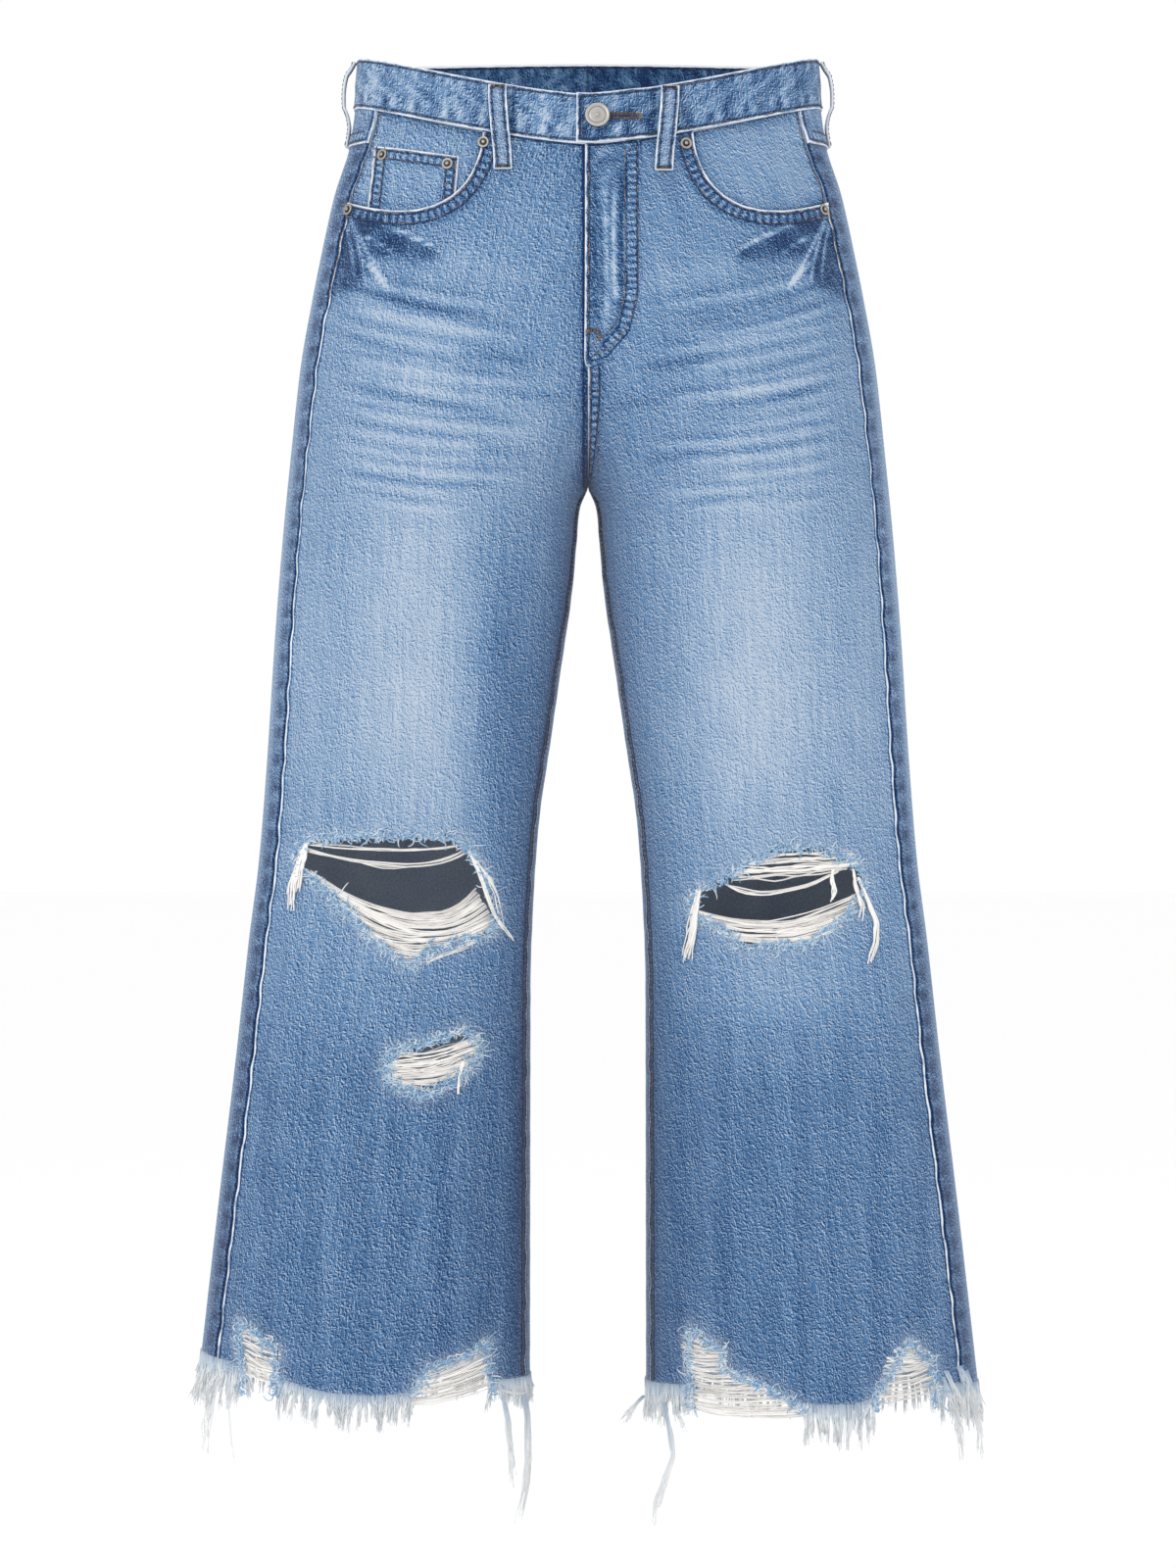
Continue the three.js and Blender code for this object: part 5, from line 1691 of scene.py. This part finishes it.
WEFT_FIELDS = [
    ("right", [(196, -561), (183, -572), (165, -592), (147, -612), (128, -625)],
     [(125, -590), (122, -600), (120, -610), (118, -620), (118, -627)],
     [(80, -575), (74, -585), (68, -597), (80, -612), (105, -622)], 64),
    ("right", [(200, -541), (198, -543)], [(134, -544.5), (134, -547)], [(91, -541.8), (88, -543)], 4),
    ("right", [(201, -545), (199, -547)], [(132, -555), (130, -558)], [(88, -545), (84, -549)], 6),
    ("right", [(134, -688), (142, -703), (132, -712)], [(108, -685), (106, -700), (108, -717)],
     [(78, -676), (76, -690), (98, -713)], 48),
    ("left", [(102, -568), (106, -560), (128, -549)], [(140, -567), (142, -557), (146, -547)],
     [(180, -560), (188, -556), (184, -548)], 26),
    ("left", [(97, -570), (98, -571)], [(130, -576), (132, -577)], [(174, -562), (177, -562)], 4),
    ("left", [(74, -586), (80, -594), (92, -604), (108, -613)],
     [(130, -594), (132, -602), (134, -609), (136, -614)],
     [(192, -574), (190, -586), (176, -600), (160, -609)], 44),
]
rng = np.random.default_rng(23)
wefts = np.concatenate([weft(*field, rng) for field in WEFT_FIELDS])
radius = rng.uniform(0.32, 0.72, (len(wefts), 1))
shades = rng.uniform(0.4, 1.0, (len(wefts), 1))
weft_threads = strands("weft_threads", wefts, radius, bare_weft, shades, sides=4)
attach(weft_threads, "root")

rng = np.random.default_rng(29)
fibres, shades = zip(
    lint("right", KNEE_RIP["right"], rng),
    lint("right", SHIN_RIP, rng, 0.28),
    lint("left", KNEE_RIP["left"], rng),
    *(lint("right", notch, rng, 0.4, top_only=-930) for notch in HEM_NOTCHES["right"]),
    *(lint("left", notch, rng, 0.4, top_only=-940) for notch in HEM_NOTCHES["left"]),
)
fibres, shades = np.concatenate(fibres), np.concatenate(shades)
radius = 0.74 * np.linspace(1, 0.45, fibres.shape[1])[None, :]
torn_lint = strands("torn_edge_lint", fibres, radius, blue_lint, shades, sides=3)
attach(torn_lint, "root")

TASSELS = [
    ("right", [(197, -540), (203, -555), (208, -572), (209, -590)], 14, 3.4),
    ("right", [(198, -541), (200, -556), (203, -570), (206, -580)], 9, 2.6),
    ("right", [(84, -547), (77, -562), (73, -574), (66, -593), (52, -613)], 9, 1.8),
    ("right", [(80, -553), (70, -566), (64, -580), (60, -602)], 4, 1.6),
    ("right", [(88, -695), (90, -706), (91, -720)], 5, 1.0),
    ("left", [(78, -574), (75, -588), (73, -602), (70, -618), (69, -626)], 26, 4.0),
    ("left", [(172, -560), (171, -568), (173, -576), (170, -584)], 7, 1.6),
    ("left", [(186, -560), (188, -574), (193, -588), (191, -598)], 7, 1.6),
    ("left", [(190, -566), (196, -580), (203, -598), (202, -612), (197, -627)], 11, 2.0),
]
rng = np.random.default_rng(31)
hanging = np.concatenate([tassel(*line, rng) for line in TASSELS])
radius = 0.72 * np.linspace(1, 0.55, hanging.shape[1])[None, :]
shades = rng.uniform(0.72, 1.0, (len(hanging), 1))
rip_tassels = strands("rip_tassels", hanging, radius, bare_weft, shades, sides=4)
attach(rip_tassels, "root")

# ---------------------------------------------------------------- hem fringe
# The hems were cut and left raw, and the warp has frayed out into a fringe of pointed tufts, blue
# at the root and white at the tip. Across the notches in front the white weft still holds.
FRINGE_STEP = 2.6


def hem_place(side, angle, drop, out):
    """Places on the hem's own line round a leg, dropped below it and standing off it."""
    x = on_form(np.full(np.shape(angle), HEM_Z), angle)[..., 0]
    z = hem_line(x, side) - drop
    level = np.clip(z, -940, None)
    place, normal = on_cloth(side, level, angle)
    place = place + normal * np.asarray(out)[..., None]
    place[..., 2] = z
    return place


def open_hem(side, x, ahead):
    """True where a notch has eaten away the front hem at x."""
    gone = np.zeros(np.shape(x), bool)
    for notch in HEM_NOTCHES[side]:
        gone |= inside_depth(x, np.full(np.shape(x), -950.0), notch) > 1.0
    return gone & ahead


FRINGE_X = [41, 70, 122, 180, 240, 278]
FRINGE_LENGTH = {"left": [23, 23, 24, 25, 28, 30], "right": [16, 18, 20, 21, 26, 30]}
for side, sign in SIDES.items():
    rng = np.random.default_rng(41 + sign)
    fine = np.linspace(0, 2 * np.pi, 400)
    run = distances(on_form(np.full(400, HEM_Z), fine))
    tufts = int(run[-1] / FRINGE_STEP)
    middle = (np.arange(tufts) + rng.uniform(-0.35, 0.35, tufts)) * FRINGE_STEP
    angle = np.interp(middle % run[-1], run, fine)
    x = on_form(np.full(tufts, HEM_Z), angle)[:, 0]
    keep = ~open_hem(side, x, np.sin(angle) > 0)
    middle, x = middle[keep], x[keep]
    tufts = len(middle)
    fibres = 13
    shape = np.interp(x, FRINGE_X, FRINGE_LENGTH[side])
    length = shape * rng.uniform(0.5, 1.15, tufts)
    root = middle[:, None] + rng.uniform(-0.75, 0.75, (tufts, fibres)) * FRINGE_STEP
    tip = middle[:, None] + rng.normal(0, 2.4, (tufts, 1)) + rng.normal(0, 0.9, (tufts, fibres))
    t = np.linspace(0, 1, 6)
    ease = t * t * (3 - 2 * t)
    along = root[..., None] + (tip - root)[..., None] * ease
    reach = length[:, None] * rng.uniform(0.62, 1.1, (tufts, fibres))
    drop = -3.6 + (reach[..., None] + 3.6) * t
    lean = rng.normal(0, 1.4, (tufts, 1, 1)) + rng.normal(0, 0.8, (tufts, fibres, 1))
    out = rng.uniform(-0.9, 0.5, (tufts, fibres, 1)) + lean * t * t
    angles = np.interp(np.mod(along, run[-1]), run, fine)
    paths = hem_place(side, angles, drop, out).reshape(tufts * fibres, 6, 3)
    wiggle = np.stack([smooth_noise(rng, len(paths), 6, 0.3, 4) for _ in range(3)], -1)
    paths = paths + wiggle * t[None, :, None]
    radius = 0.58 * (1 - 0.6 * t**1.5)[None, :] * rng.uniform(0.8, 1.15, (len(paths), 1))
    whiter = (0.3 + 0.66 * np.clip(t * 1.5, 0, 1))[None, :]
    shades = whiter * rng.uniform(0.5, 1.15, (len(paths), 1))
    fringe = strands("fringe_" + side, paths, radius, cotton, shades, sides=3)
    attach(fringe, "root")
    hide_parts("hem_fringe_" + side)

NOTCH_FIELDS = [
    ("right", [(246, -878), (241, -891), (239, -903), (239, -916)],
     [(222, -888), (216, -897), (218, -908), (220, -921)], 40, 1.0),
    ("right", [(114, -911), (119, -919), (123, -927), (120, -935)],
     [(73, -892), (69, -902), (70, -912), (67, -926)], 44, 1.6),
    ("left", [(70, -885), (66, -897), (70, -910)], [(80, -892), (97, -897), (95, -911)], 30, 1.0),
    ("left", [(70, -908), (73, -926), (75, -941)], [(98, -909), (127, -925), (153, -942)], 44, 1.8),
    ("left", [(224, -891), (211, -902), (206, -918), (203, -936)],
     [(230, -894), (241, -902), (240, -912), (247, -928)], 44, 1.4),
]
rng = np.random.default_rng(53)
notch_paths = []
for side, start, end, count, sag in NOTCH_FIELDS:
    middle = [((a[0] + b[0]) / 2, (a[1] + b[1]) / 2 - sag) for a, b in zip(start, end)]
    notch_paths.append(weft(side, start, middle, end, count, rng, 0.5, 0.45))
notch_paths = np.concatenate(notch_paths)
radius = rng.uniform(0.35, 0.65, (len(notch_paths), 1))
shades = rng.uniform(0.3, 1.0, (len(notch_paths), 1))
notch_threads = strands("notch_weft", notch_paths, radius, bare_weft, shades, sides=4)
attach(notch_threads, "root")

# Long ends left at the foot of each seam, in a loose bunch that runs out to a few wisps.
LONG_THREADS = {
    "threads_inseam_right": ("right", [
        ([(60, -925), (57, -950), (54, -980), (53, -1000)], 12, 2.8),
        ([(46, -928), (43, -950), (42, -980), (44, -1000), (50, -1026)], 18, 2.8),
        ([(64, -926), (50, -932), (40, -934)], 8, 3.4),
    ]),
    "threads_outseam_right": ("right", [
        ([(262, -914), (266, -935), (270, -955), (271, -974)], 10, 4.0),
        ([(252, -914), (252, -940), (250, -965), (249, -984)], 4, 1.4),
        ([(262, -908), (274, -920), (281, -938)], 22, 4.6),
        ([(252, -910), (264, -922), (270, -944)], 16, 4.0),
    ]),
    "threads_inseam_left": ("left", [
        ([(54, -938), (58, -958), (60, -974), (55, -990), (49, -1010), (48, -1027)], 22, 2.8),
        ([(40, -938), (32, -946), (24, -958)], 14, 4.0),
        ([(62, -940), (66, -950), (68, -957)], 8, 2.4),
    ]),
    "threads_outseam_left": ("left", [
        ([(250, -918), (257, -935), (262, -955), (264, -978)], 10, 2.6),
        ([(268, -916), (275, -935), (278, -958), (279, -982)], 10, 2.4),
        ([(262, -912), (270, -928), (276, -948)], 22, 4.4),
        ([(252, -914), (260, -930), (268, -950)], 14, 3.6),
    ]),
}
steps = 20
for node, (side, bunches) in LONG_THREADS.items():
    rng = np.random.default_rng(61 + len(node) + (side == "left"))
    hanging = np.concatenate([tassel(side, *bunch, rng, steps) for bunch in bunches])
    radius = 0.7 * np.linspace(1, 0.45, steps)[None, :]
    whiter = np.clip(np.linspace(0.25, 1.4, steps), 0, 0.95)[None, :]
    shades = whiter * rng.uniform(0.85, 1, (len(hanging), 1))
    piece = strands("long_" + node, hanging, radius, cotton, shades, sides=3)
    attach(piece, "root")
    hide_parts(node)
